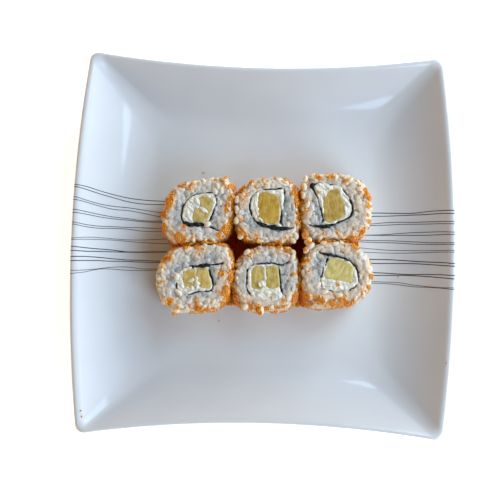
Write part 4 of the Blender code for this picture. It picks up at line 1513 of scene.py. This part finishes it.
# %% The grains that stand out
# Grains that lie on the cut face or stand out from the rim: x, y, heading and height over the cut face
NAMED_GRAINS = {
    "back_left": (
        (-34.5, 9.2, 30, 0.0), (-29.0, 33.0, 110, -0.2), (-30.5, 30.0, 120, -0.3), (-26.5, 30.5, 95, -0.4),
        (-25.0, 37.4, 20, -0.8)),
    "back_middle": (
        (17.0, 28.0, 90, -0.6), (-13.5, 27.0, 60, -0.5), (-16.8, 12.0, 85, -1.1), (-16.6, 18.5, 100, -1.0),
        (-16.6, 25.0, 80, -1.1), (19.6, 3.2, 110, -1.1), (18.0, 0.6, 140, -1.2), (-13.6, 2.8, 55, -1.1)),
    "back_right": (
        (25.0, 38.6, 80, -0.3), (24.4, 33.4, 100, -0.4), (29.6, 40.2, 20, -0.4), (24.0, 28.6, 90, -0.6),
        (26.5, 22.5, 70, -0.5), (25.6, 3.4, 60, -1.1), (27.4, 0.4, 40, -1.2)),
    "front_left": (
        (-52.6, -44.6, 10, -0.7), (-59.0, -37.8, 60, -0.7), (-50.8, -33.2, 135, 0.0),
        (-52.6, -23.4, 80, 0.0), (-29.5, -38.0, 50, -0.4)),
    "front_middle": (
        (-0.6, -42.8, 95, -0.6), (-10.4, -40.8, 40, -0.6), (18.0, -10.0, 70, -0.2), (-3.5, -39.5, 20, -0.5),
        (18.2, -7.0, 125, -1.1), (15.4, -5.2, 150, -1.1), (-9.8, -7.4, 40, -1.0)),
    "front_right": (
        (33.5, -27.0, 60, -0.3), (37.5, -31.0, 20, -0.4), (46.5, -32.5, 0, -0.4), (30.5, -8.0, 50, -0.5),
        (26.4, -5.2, 65, -1.1), (29.0, -2.8, 40, -1.0), (37.0, -1.2, 5, -0.8), (44.0, -1.2, 10, -0.8)),
}
print(sum(len(grains) for grains in NAMED_GRAINS.values()), "grains are placed one by one")

# %% [markdown]
# ## Roe
#
# The rolls were turned in roe before they were cut, so eggs cling to the side in drifts and hardly reach the
# cut face. Each egg is a little over one millimetre across. Its place is found by sending a ray onto the
# rice: from above for the clusters that show on the rim, and from the side for the drifts. Noise says where a
# drift lies, and sides that face a neighbour are the most densely covered, except close to the rim.

# %% The form of an egg
ROE_WIDTH = 1.15
EGG_SIDES = 6
EGG_RINGS = 3
EGG = ball(EGG_SIDES, EGG_RINGS, lambda h: (1 - h * h) ** 0.5)
print("an egg has", len(EGG[1]), "triangles")

# %% Eggs on the rim and between two rolls
RIM_EGG_TRIALS = 48
RIM_EGG_REACH = 0.5
# An egg of the rim lies this far in from the side, up to the sum of both, and mostly near the smaller
RIM_EGG_INSET = 0.3
RIM_EGG_SPREAD = 3.9
RIM_EGG_CROWDING = 1.7
# Eggs stay where this noise is above a level, give or take some chance
RIM_STRETCHES = (7.0, 0.05, 0.35)
WEDGE_TRIALS = 3000
WEDGE_LEVELS = (0.8, 0.965)
WEDGE_ROOM = 1.9


def rim_eggs(skin, seed, chance):
    """Places along the rim where single eggs cling, closer together in some stretches."""
    angles = chance.uniform(0, math.tau, RIM_EGG_TRIALS)
    rims, out = skin_points(skin, angles, np.ones(RIM_EGG_TRIALS))
    inset = RIM_EGG_INSET + RIM_EGG_SPREAD * chance.uniform(0, 1, (RIM_EGG_TRIALS, 1)) ** RIM_EGG_CROWDING
    spots = rims[:, :2] - out[:, :2] * inset
    size, level, luck = RIM_STRETCHES
    kept = spots[wave(rims, size, seed) + chance.uniform(-luck, luck, RIM_EGG_TRIALS) > level]
    return tuple((x, y, RIM_EGG_REACH) for x, y in kept)


def wedged_places(skin, others, chance):
    """Places high up between a roll and its neighbours, where there is just room for an egg."""
    angles = chance.uniform(0, math.tau, WEDGE_TRIALS)
    sides, _ = skin_points(skin, angles, chance.uniform(*WEDGE_LEVELS, WEDGE_TRIALS))
    found = [(place, *others.find_nearest(Vector(place))) for place in sides]
    return [(Vector(place) + hit) / 2 for place, hit, _, _, gap in found if gap < WEDGE_ROOM]


test_eggs = rim_eggs(test_skin, 40.0, np.random.default_rng(1))
print("a test rim has", len(test_eggs), "single eggs")

# %% Find what the eggs land on
EGGS_A_CLUSTER = 70
FEWEST_EGGS = 16
CLUSTER_SPREAD = 1.15
# At 0.5 the eggs would lie evenly, and above it they lie closer together towards a cluster's middle
CLUSTER_CROWDING = 0.6
DROP_HEIGHT = 20
# An egg that falls past the roll, to less than this above its foot, clings to the side this far below the top
LOWEST_HIT = 5
CLING_DEPTH = 4
DRIFT_TRIALS = 9000
DRIFT_LEVELS = (0.02, 0.93)
DRIFT_LEVEL = 0.26
DRIFTS = ((1.0, 5.5, 0.0), (0.4, 2.2, 1.0))
# A neighbour within this distance makes the drifts denser, in full where the level is this far below the rim
FACING_WITHIN = 12
FACING_DENSER = 0.8
FULLY_BELOW = 0.35
# Where no neighbour is near, drifts thin out from one level upwards, in full over a stretch
RISING_THINNER = 0.6
THINNER_FROM = 0.6
THINNER_OVER = 0.25
SIDE_START = 3.0


def cluster_hits(skin, rice_tree, clusters, chance):
    """Where the eggs of the clusters land, and the directions that face out there."""
    _, bottom, top, _ = skin
    hits = []
    for x, y, reach in clusters:
        for trial in range(int(EGGS_A_CLUSTER * (reach / ROE_WIDTH) ** 2) + FEWEST_EGGS):
            turn = chance.uniform(0, math.tau)
            far = CLUSTER_SPREAD * reach * chance.uniform(0, 1) ** CLUSTER_CROWDING * (trial > 0)
            spot = Vector((x + far * math.cos(turn), y + far * math.sin(turn), top + DROP_HEIGHT))
            hit, out, _, _ = rice_tree.ray_cast(spot, Vector((0, 0, -1)))
            if hit is None or hit.z < bottom + LOWEST_HIT:
                hit, out, _, _ = rice_tree.find_nearest(Vector((spot.x, spot.y, top - CLING_DEPTH)))
            hits.append((*hit, *out))
    return hits


def drift_hits(skin, rice_tree, others, seed, chance):
    """Where the eggs of the drifts land on the side, and the directions that face out there."""
    angles = chance.uniform(0, math.tau, DRIFT_TRIALS)
    levels = chance.uniform(*DRIFT_LEVELS, DRIFT_TRIALS)
    sides, _ = skin_points(skin, angles, levels)
    facing = np.maximum(0.0, 1 - room_to(others, sides) / FACING_WITHIN)
    low = np.minimum(1.0, (1 - levels) / FULLY_BELOW)
    rise = np.maximum(0.0, (levels - THINNER_FROM) / THINNER_OVER)
    bare_below = DRIFT_LEVEL - FACING_DENSER * facing * low + RISING_THINNER * rise * (1 - facing)
    covered = layered(sides, DRIFTS, seed) >= bare_below
    hits = []
    for place, angle in zip(sides[covered], angles[covered]):
        outward = Vector((math.cos(angle), math.sin(angle), 0))
        hit, out, _, _ = rice_tree.ray_cast(Vector(place) + outward * SIDE_START, -outward)
        if hit is not None:
            hits.append((*hit, *out))
    return hits


test_hits = cluster_hits(test_skin, plate_tree, [(0.0, 0.0, 2.0)], np.random.default_rng(1))
print("a cluster that reaches 2 mm is tried with", len(test_hits), "eggs")

# %% Lay roe
ROE_GAP = 0.74
# As shares of an egg's width: how deep it is sunk, how near another roll its middle may lie, and how far it
# may stand up over its middle
ROE_SINK = 0.22
ROE_ROOM = 0.45
ROE_HALF = 0.6
EGG_SIZES = (0.85, 1.15)
EGG_SHAPES = (0.92, 1.06)
# Eggs this far below the cut face and this close to a neighbour are painted redder: painted shade for the
# light that reaches them only through other eggs
SHADE_PAINT_FROM, SHADE_PAINT_TO = 8.0, 18.0
SHUT_IN = 9.0


def upright(count, chance):
    """Axes for eggs that stand upright, each turned in its own way."""
    up = np.tile((0.0, 0.0, 1.0), (count, 1))
    return turned_to(up, chance.uniform(0, math.tau, count), np.zeros(count))


def make_roe(roll, skin, rice_tree, others, clusters, seed, chance):
    """The eggs of a roll, each sunk a little into what it lies on. Gives how many there are."""
    top = skin[2]
    found = cluster_hits(skin, rice_tree, clusters, chance)
    found = np.array(found + drift_hits(skin, rice_tree, others, seed, chance))
    places = found[:, :3] + found[:, 3:] * ROE_WIDTH * (0.5 - ROE_SINK)
    room = room_to(others, places)
    places = places[(room > ROE_WIDTH * ROE_ROOM) & (places[:, 2] > FLOOR_HEIGHT + ROE_WIDTH / 2)]
    places = places[spread_out(places, ROE_GAP)]
    places[:, 2] = np.minimum(places[:, 2], HIGHEST - ROE_WIDTH * ROE_HALF)
    count = len(places)
    axes = upright(count, chance)
    sizes = ROE_WIDTH * chance.uniform(*EGG_SIZES, (count, 1)) * chance.uniform(*EGG_SHAPES, (count, 3))
    points, faces = joined_copies(EGG, places, axes, sizes)
    # Eggs low down and shut in by a neighbour are painted redder, as painted shade
    shut = np.maximum(0.0, 1 - room_to(others, places) / SHUT_IN)
    below = np.clip((top - SHADE_PAINT_FROM - points[:, 2]) / (SHADE_PAINT_TO - SHADE_PAINT_FROM), 0, 1)
    piece(f"roll_{roll}_roe", points, faces, roe_skin, deep=below * np.repeat(shut, len(EGG[0])))
    return count


print("an egg is sunk by", round(ROE_SINK * ROE_WIDTH, 2), "mm")

# %% The clusters that show
# Clusters of roe that show from above: x, y and how far each reaches
ROE_CLUSTERS = {
    "back_left": (
        (-49.5, 33.8, 1.4), (-52.8, 33.2, 0.8), (-57.0, 28.5, 1.2), (-58.5, 23.5, 2.5), (-58.5, 20.0, 1.5),
        (-62.0, 15.5, 2.2), (-61.5, 7.5, 1.8), (-62.0, 4.5, 1.8), (-51.5, 1.0, 2.5), (-49.5, -0.5, 2.0),
        (-48.5, 7.5, 0.8), (-36.0, -2.3, 1.5), (-27.5, 2.5, 1.2), (-22.5, 6.5, 2.5), (-20.5, 4.5, 2.0),
        (-20.0, 12.0, 1.8), (-22.5, 18.0, 1.2), (-18.5, 18.5, 1.2), (-22.5, 21.3, 1.2), (-20.5, 25.5, 1.5),
        (-17.0, 29.5, 2.0), (-20.5, 33.5, 1.8), (-19.0, 36.5, 0.8), (-24.0, 38.8, 0.8), (-27.0, 36.8, 0.8)),
    "back_middle": (
        (-14.0, 31.8, 1.2), (-12.5, 33.0, 0.8), (-8.0, 36.2, 1.2), (-1.0, 37.8, 0.8), (6.5, 39.5, 0.8),
        (13.0, 38.3, 1.0), (15.7, 37.8, 1.0), (-14.0, 3.5, 1.2), (-4.0, 3.0, 0.8), (-11.0, 0.5, 1.0),
        (-4.0, -1.0, 1.0), (19.0, 33.0, 1.5), (19.0, 30.0, 2.0), (20.5, 26.0, 1.5), (21.0, 22.0, 1.5),
        (21.5, 17.0, 1.5), (21.0, 11.0, 1.5), (9.5, -2.0, 2.0), (14.5, -3.5, 2.0), (12.0, -4.0, 1.5)),
    "back_right": (
        (22.0, 41.0, 1.2), (22.5, 43.0, 0.8), (21.0, 36.0, 1.0), (22.5, 33.5, 0.8), (32.0, 40.0, 1.5),
        (33.5, 30.3, 0.7), (34.0, 39.0, 1.0), (41.0, 41.0, 1.2), (41.0, 39.5, 0.8), (50.0, 38.0, 1.2),
        (62.5, 32.5, 1.3), (63.5, 29.0, 1.8), (64.5, 27.0, 1.2), (64.0, 23.0, 1.5), (63.5, 17.2, 0.7),
        (64.5, 13.5, 1.0), (61.0, 7.0, 1.0), (59.5, 5.0, 1.2), (54.0, 2.0, 2.0), (52.5, 1.0, 1.5),
        (37.5, 0.5, 1.5), (35.0, -1.5, 1.5), (21.5, 30.0, 1.5), (22.0, 25.0, 1.5), (21.0, 17.0, 1.5),
        (21.0, 12.0, 1.5), (24.0, 7.0, 1.5), (25.5, 3.5, 1.5), (27.5, -1.0, 1.5)),
    "front_left": (
        (-48.0, -4.8, 1.2), (-46.0, -4.5, 0.8), (-40.5, -5.0, 1.2), (-56.5, -8.0, 1.0), (-57.0, -12.0, 1.2),
        (-60.5, -12.0, 1.2), (-61.0, -14.5, 1.0), (-56.5, -38.5, 1.8), (-53.0, -46.0, 1.2),
        (-51.5, -46.5, 1.0), (-39.0, -42.0, 1.8), (-37.5, -43.0, 1.5), (-33.5, -42.8, 1.3),
        (-40.3, -38.0, 0.8), (-29.5, -42.0, 0.8), (-23.5, -38.5, 1.5), (-22.0, -36.5, 1.8),
        (-21.0, -33.0, 1.2), (-24.8, -32.3, 1.2), (-22.0, -29.5, 1.5), (-25.0, -20.5, 1.6),
        (-19.5, -20.0, 1.5), (-19.0, -23.5, 2.0), (-19.5, -9.0, 1.2), (-19.5, -7.0, 1.0),
        (-24.0, -3.0, 1.0), (-17.5, -15.5, 1.5)),
    "front_middle": (
        (-17.5, -14.0, 1.5), (-15.0, -10.0, 1.0), (-19.0, -23.5, 1.8), (-18.5, -31.0, 2.0),
        (-17.5, -34.0, 2.0), (-16.0, -37.0, 1.8), (-14.5, -39.0, 1.0), (-6.5, -40.8, 1.2),
        (-2.5, -40.5, 1.5), (-2.5, -42.5, 1.2), (-0.8, -44.3, 0.8), (3.0, -41.5, 1.0), (10.0, -40.5, 0.8),
        (13.5, -40.0, 0.8), (13.0, -36.5, 1.0), (20.5, -34.0, 2.0), (5.8, -34.8, 0.8), (20.0, -37.0, 2.0),
        (21.5, -39.5, 1.5), (22.0, -32.0, 1.5), (22.5, -28.0, 1.5), (14.0, -5.5, 1.2), (16.0, -5.5, 1.0),
        (10.0, -3.0, 1.5), (21.5, -7.0, 1.0)),
    "front_right": (
        (21.5, -39.0, 1.8), (20.5, -36.0, 1.5), (22.0, -33.5, 1.5), (24.5, -30.5, 1.2), (24.0, -27.0, 1.0),
        (22.5, -14.0, 1.5), (25.5, -12.5, 1.2), (27.0, -11.5, 1.0), (26.0, -5.0, 1.0), (27.0, -34.0, 1.8),
        (34.5, -36.0, 1.8), (36.5, -36.5, 1.5), (34.0, -34.5, 1.0), (43.0, -37.0, 1.8), (44.0, -38.0, 1.5),
        (49.5, -37.0, 2.0), (51.5, -37.5, 1.8), (50.0, -39.5, 1.3), (49.0, -34.5, 1.0), (55.5, -36.5, 1.2),
        (30.0, -38.0, 1.0), (25.0, -38.5, 0.9), (39.0, -38.5, 0.7), (46.5, -39.0, 0.7), (53.5, -39.0, 0.7),
        (53.7, -24.7, 0.6), (46.0, -26.7, 0.7), (62.5, -34.0, 0.8), (65.5, -27.5, 1.2), (66.2, -20.5, 1.2),
        (66.8, -21.0, 1.0), (66.0, -12.0, 0.8), (57.0, -4.0, 1.0), (55.0, -2.0, 1.2)),
}
print(sum(len(clusters) for clusters in ROE_CLUSTERS.values()), "clusters of roe")

# %% [markdown]
# ## Build the six pieces
#
# One loop makes every roll from the frame. What differs is the fruit's ripeness and heading and what the
# tables above say: where the nori is thick or hidden, where cheese was dragged, which grains and clusters of
# roe stand out, where oil has spread with its painted glow and where the cut face takes painted shade. Each
# roll has its own seed, so a change to one of them leaves the others as they are.

# %% All six rolls
# The fruit's colours, ripe and pale, and the heading of its fibres
FLESH = {
    "back_left": ("#B49B48", "#E0CA88", 75),
    "back_middle": ("#B8932C", "#E1B962", 80),
    "back_right": ("#AF8E37", "#D9BC73", 100),
    "front_left": ("#C0A449", "#E9CF8B", 80),
    "front_middle": ("#B59D4C", "#DCC77C", 85),
    "front_right": ("#C8B768", "#EDDD9E", 60),
}
# The seed of the first roll's random draws. The noises of each kind of piece start from another seed
FIRST_SEED = 100
# The level at which the rolls' sides bound the gaps between them
GAP_LEVEL = 0.1

SIDES = []
WEDGED = []
for number, (roll, (ripe_colour, pale_colour, heading)) in enumerate(FLESH.items()):
    chance = np.random.default_rng(FIRST_SEED + number)
    others = joined_tree([frame_mesh(f"roll_{other}_rice") for other in FLESH if other != roll])
    make_nori(roll, NORI_THICK[roll], CHEESE_OVER[roll] + RICE_OVER[roll], chance)
    solids = [make_cheese(roll, CHEESE_OVER[roll], 10.0 + number, chance)]
    flesh = fruit_flesh(f"fruit_flesh_{roll}", ripe_colour, pale_colour, heading)
    for node in sorted(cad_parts):
        if node.startswith(f"roll_{roll}_fruit"):
            solids.append(make_fruit(node, flesh, heading, 20.0 + number + len(node), chance))
    skin = measure_skin(f"roll_{roll}_rice")
    SIDES.append(skin_ring(skin, GAP_LEVEL)[:, :2])
    clusters = ROE_CLUSTERS[roll] + rim_eggs(skin, 40.0 + number, chance)
    solids.append(make_rice_core(roll, skin, RICE_OVER[roll], clusters, WASHES_AND_GLOWS[roll], chance))
    *grains, grain_count = make_grains(roll, skin, others, NAMED_GRAINS[roll], clusters, WASHES_AND_GLOWS[roll], chance)
    solids.append(grains)
    face_tree = joined_tree(solids)
    make_smears(roll, skin[2], face_tree, STROKES[roll], 50.0 + number)
    eggs = make_roe(roll, skin, face_tree, others, clusters, 30.0 + number, chance)
    WEDGED += wedged_places(skin, others, chance)
    print(roll, "has", grain_count, "whole grains and", eggs, "eggs of roe")

# %% [markdown]
# ## Stray eggs
#
# A few eggs fell onto the plate when the rolls were set down. They are single eggs on the glaze. Between the
# rolls lie many more, and where two sides almost touch, some were caught higher up.

# %% Eggs between the rolls
FALLEN_SEED = 7
FALLEN_TRIALS = 50000
FALLEN_REACH = 9.0
FALLEN_GAP = 0.66
FALLEN_AREA = np.array(((-58.0, -39.0), (61.0, 34.0)))
# How high an egg's middle lies over the glaze, as a share of its width, how much higher the eggs of a heap
# lie, and what share of them lies so
RESTING = 0.42
HEAP_LEVELS = (0.0, 0.6, 1.2)
HEAP_SHARES = (0.6, 0.25, 0.15)
# Where a third roll is nearer than this, eggs lie shut in between them
ENCLOSED_WITHIN = 16.0
ENCLOSED_FADE = 6.0

chance = np.random.default_rng(FALLEN_SEED)
starts = np.vstack(SIDES)[chance.integers(0, len(SIDES) * SKIN_ANGLES, FALLEN_TRIALS)]
spots = starts + chance.uniform(-FALLEN_REACH, FALLEN_REACH, (FALLEN_TRIALS, 2))
gaps = [np.hypot(*(spots[:, None, :] - side[None, :, :]).transpose(2, 0, 1)).min(axis=1) for side in SIDES]
_, second, third = np.sort(gaps, axis=0)[:3]
buried = np.any([inside(spots, [side]) for side in SIDES], axis=0)
within = (spots > FALLEN_AREA[0]).all(axis=1) & (spots < FALLEN_AREA[1]).all(axis=1)
between = (second < FALLEN_REACH) & ~buried & within
heights = FLOOR_HEIGHT + ROE_WIDTH * RESTING + chance.choice(HEAP_LEVELS, FALLEN_TRIALS, p=HEAP_SHARES)
fallen = np.column_stack((spots, heights))[between]
enclosed = np.clip((ENCLOSED_WITHIN - third[between]) / ENCLOSED_FADE, 0, 1)
kept = spread_out(fallen, FALLEN_GAP)
fallen, enclosed = fallen[kept], enclosed[kept]
wedged = np.array(WEDGED)
wedged = wedged[spread_out(wedged, ROE_GAP)]
print(len(fallen), "eggs lie between the rolls and", len(wedged), "are wedged between their sides")

# %% Eggs on the plate
STRAY_EGGS = (
    (-39.5, 46.3), (-27.3, -49.4), (-108.5, -109.4), (-109.2, -105.8), (113.8, -72.3), (86.4, -18.9),
    (105.1, -25.2))
STRAY_RESTING = 0.4
STRAY_SIZES = (0.8, 1.1)
# The eggs between the rolls are drawn larger than the single ones, so that they close up
HEAPED = 1.25
# How far the painted shade reddens the eggs that lie shut in between the rolls
ENCLOSED_SHADE_PAINT = 0.95

stray = [(x, y, glaze_at(x, y) + ROE_WIDTH * STRAY_RESTING) for x, y in STRAY_EGGS]
places = np.vstack((stray, fallen, wedged))
axes = upright(len(places), chance)
sizes = ROE_WIDTH * chance.uniform(*STRAY_SIZES, (len(places), 3))
sizes[len(stray):] *= HEAPED
points, faces = joined_copies(EGG, places, axes, sizes)
# The eggs shut in between the rolls are painted redder, as painted shade
deep = np.r_[np.zeros(len(stray)), ENCLOSED_SHADE_PAINT * enclosed, np.zeros(len(wedged))]
piece("plate_stray_roe", points, faces, roe_skin, deep=np.repeat(deep, len(EGG[0])))
print(len(stray), "single eggs lie on the plate")

# %% [markdown]
# ## Floor, camera and light
#
# The floor is a pale plane that stays almost white, as a product photo has it. The camera stands a little
# over half a metre above the dish and leans back by about five and a half degrees. The light comes from a
# wide low window on the right, so the plate's right wall lies in its own shade and the left wall is the
# brightest. Nine square lights, each one and a half metres away, stand for the cool window, the sky in it,
# the room opposite, two warm lamps low on the left and the ceiling. What the room's walls send back from all
# sides is warm too, and shows in the shade of the right wall.

# %% Floor
FLOOR_SIZE = 3000.0
floor_finish, _, _ = finish_of(
    "pale_floor", Base_Color="#F4F4F4", Roughness=0.9, Emission_Color="#FFFFFF", Emission_Strength=0.65)
half = FLOOR_SIZE / 2
mesh = bpy.data.meshes.new("floor")
corners = ((-half, -half), (half, -half), (half, half), (-half, half))
mesh.from_pydata([(x * MM, y * MM, 0.0) for x, y in corners], [], [(0, 1, 2, 3)])
mesh.materials.append(floor_finish)
floor = bpy.data.objects.new("floor", mesh)
bpy.context.scene.collection.objects.link(floor)
print("the floor is", FLOOR_SIZE * MM, "m wide")

# %% Camera
CAMERA_DISTANCE = 560.0
CAMERA_LEAN = math.radians(5.58)
CAMERA_ROLL = math.radians(1.2)
camera_data = bpy.data.cameras.new("camera")
camera_data.lens = 61.9
camera_data.sensor_width = 36.0
camera_data.shift_x = -0.0266
camera_data.shift_y = -0.0082
camera_data.clip_start = 0.01
camera = bpy.data.objects.new("camera", camera_data)
back = Vector((0.0, -math.sin(CAMERA_LEAN), math.cos(CAMERA_LEAN))) * CAMERA_DISTANCE * MM
camera.matrix_world = (
    Matrix.Translation(back) @ Matrix.Rotation(CAMERA_LEAN, 4, "X") @ Matrix.Rotation(CAMERA_ROLL, 4, "Z"))
bpy.context.scene.collection.objects.link(camera)
bpy.context.scene.camera = camera
print("the camera sees", round(math.degrees(camera_data.angle), 1), "degrees across")

# %% Lights
# Each light's heading from +X and its height above the table in degrees, its width in millimetres, its power
# in watts and its colour
LIGHTS = {
    "window": (0, 18, 800, 5.8, "#E9EDF9"),
    "window_back": (45, 18, 800, 15.0, "#EAF3FB"),
    "window_front": (315, 18, 800, 10.3, "#DEECFA"),
    "sky_back": (45, 45, 800, 8.8, "#BCDFF9"),
    "sky_front": (315, 45, 800, 8.0, "#B8D9FA"),
    "room": (180, 18, 800, 0.9, "#FBF6F4"),
    "lamp_back": (150, 9, 400, 2.9, "#FFBE62"),
    "lamp_front": (210, 9, 400, 3.3, "#FFD684"),
    "ceiling": (0, 90, 800, 0.7, "#FBFCE0"),
}
LIGHT_DISTANCE = 1500.0
LIGHT_TARGET = Vector((0.0, 0.0, 15.0))

for name, (heading, height, width, power, colour) in LIGHTS.items():
    turn, rise = math.radians(heading), math.radians(height)
    way = Vector((math.cos(turn) * math.cos(rise), math.sin(turn) * math.cos(rise), math.sin(rise)))
    place = way * LIGHT_DISTANCE
    data = bpy.data.lights.new(name, "AREA")
    data.size = width * MM
    data.energy = power
    data.color = linear(colour)[:3]
    light = bpy.data.objects.new(name, data)
    light.location = place * MM
    light.rotation_euler = (LIGHT_TARGET - place).to_track_quat("-Z", "Y").to_euler()
    bpy.context.scene.collection.objects.link(light)
print(len(LIGHTS), "lights give", round(sum(row[3] for row in LIGHTS.values()), 1), "watts")

# %% What the room's walls send back
WALL_GLOW = 0.175
world = bpy.data.worlds.new("studio")
world.use_nodes = True
background = world.node_tree.nodes["Background"]
background.inputs["Color"].default_value = linear("#FFBE7C")
background.inputs["Strength"].default_value = WALL_GLOW
bpy.context.scene.world = world
bpy.context.scene.view_settings.view_transform = "Standard"
print("the walls give back", WALL_GLOW, "of a full white")
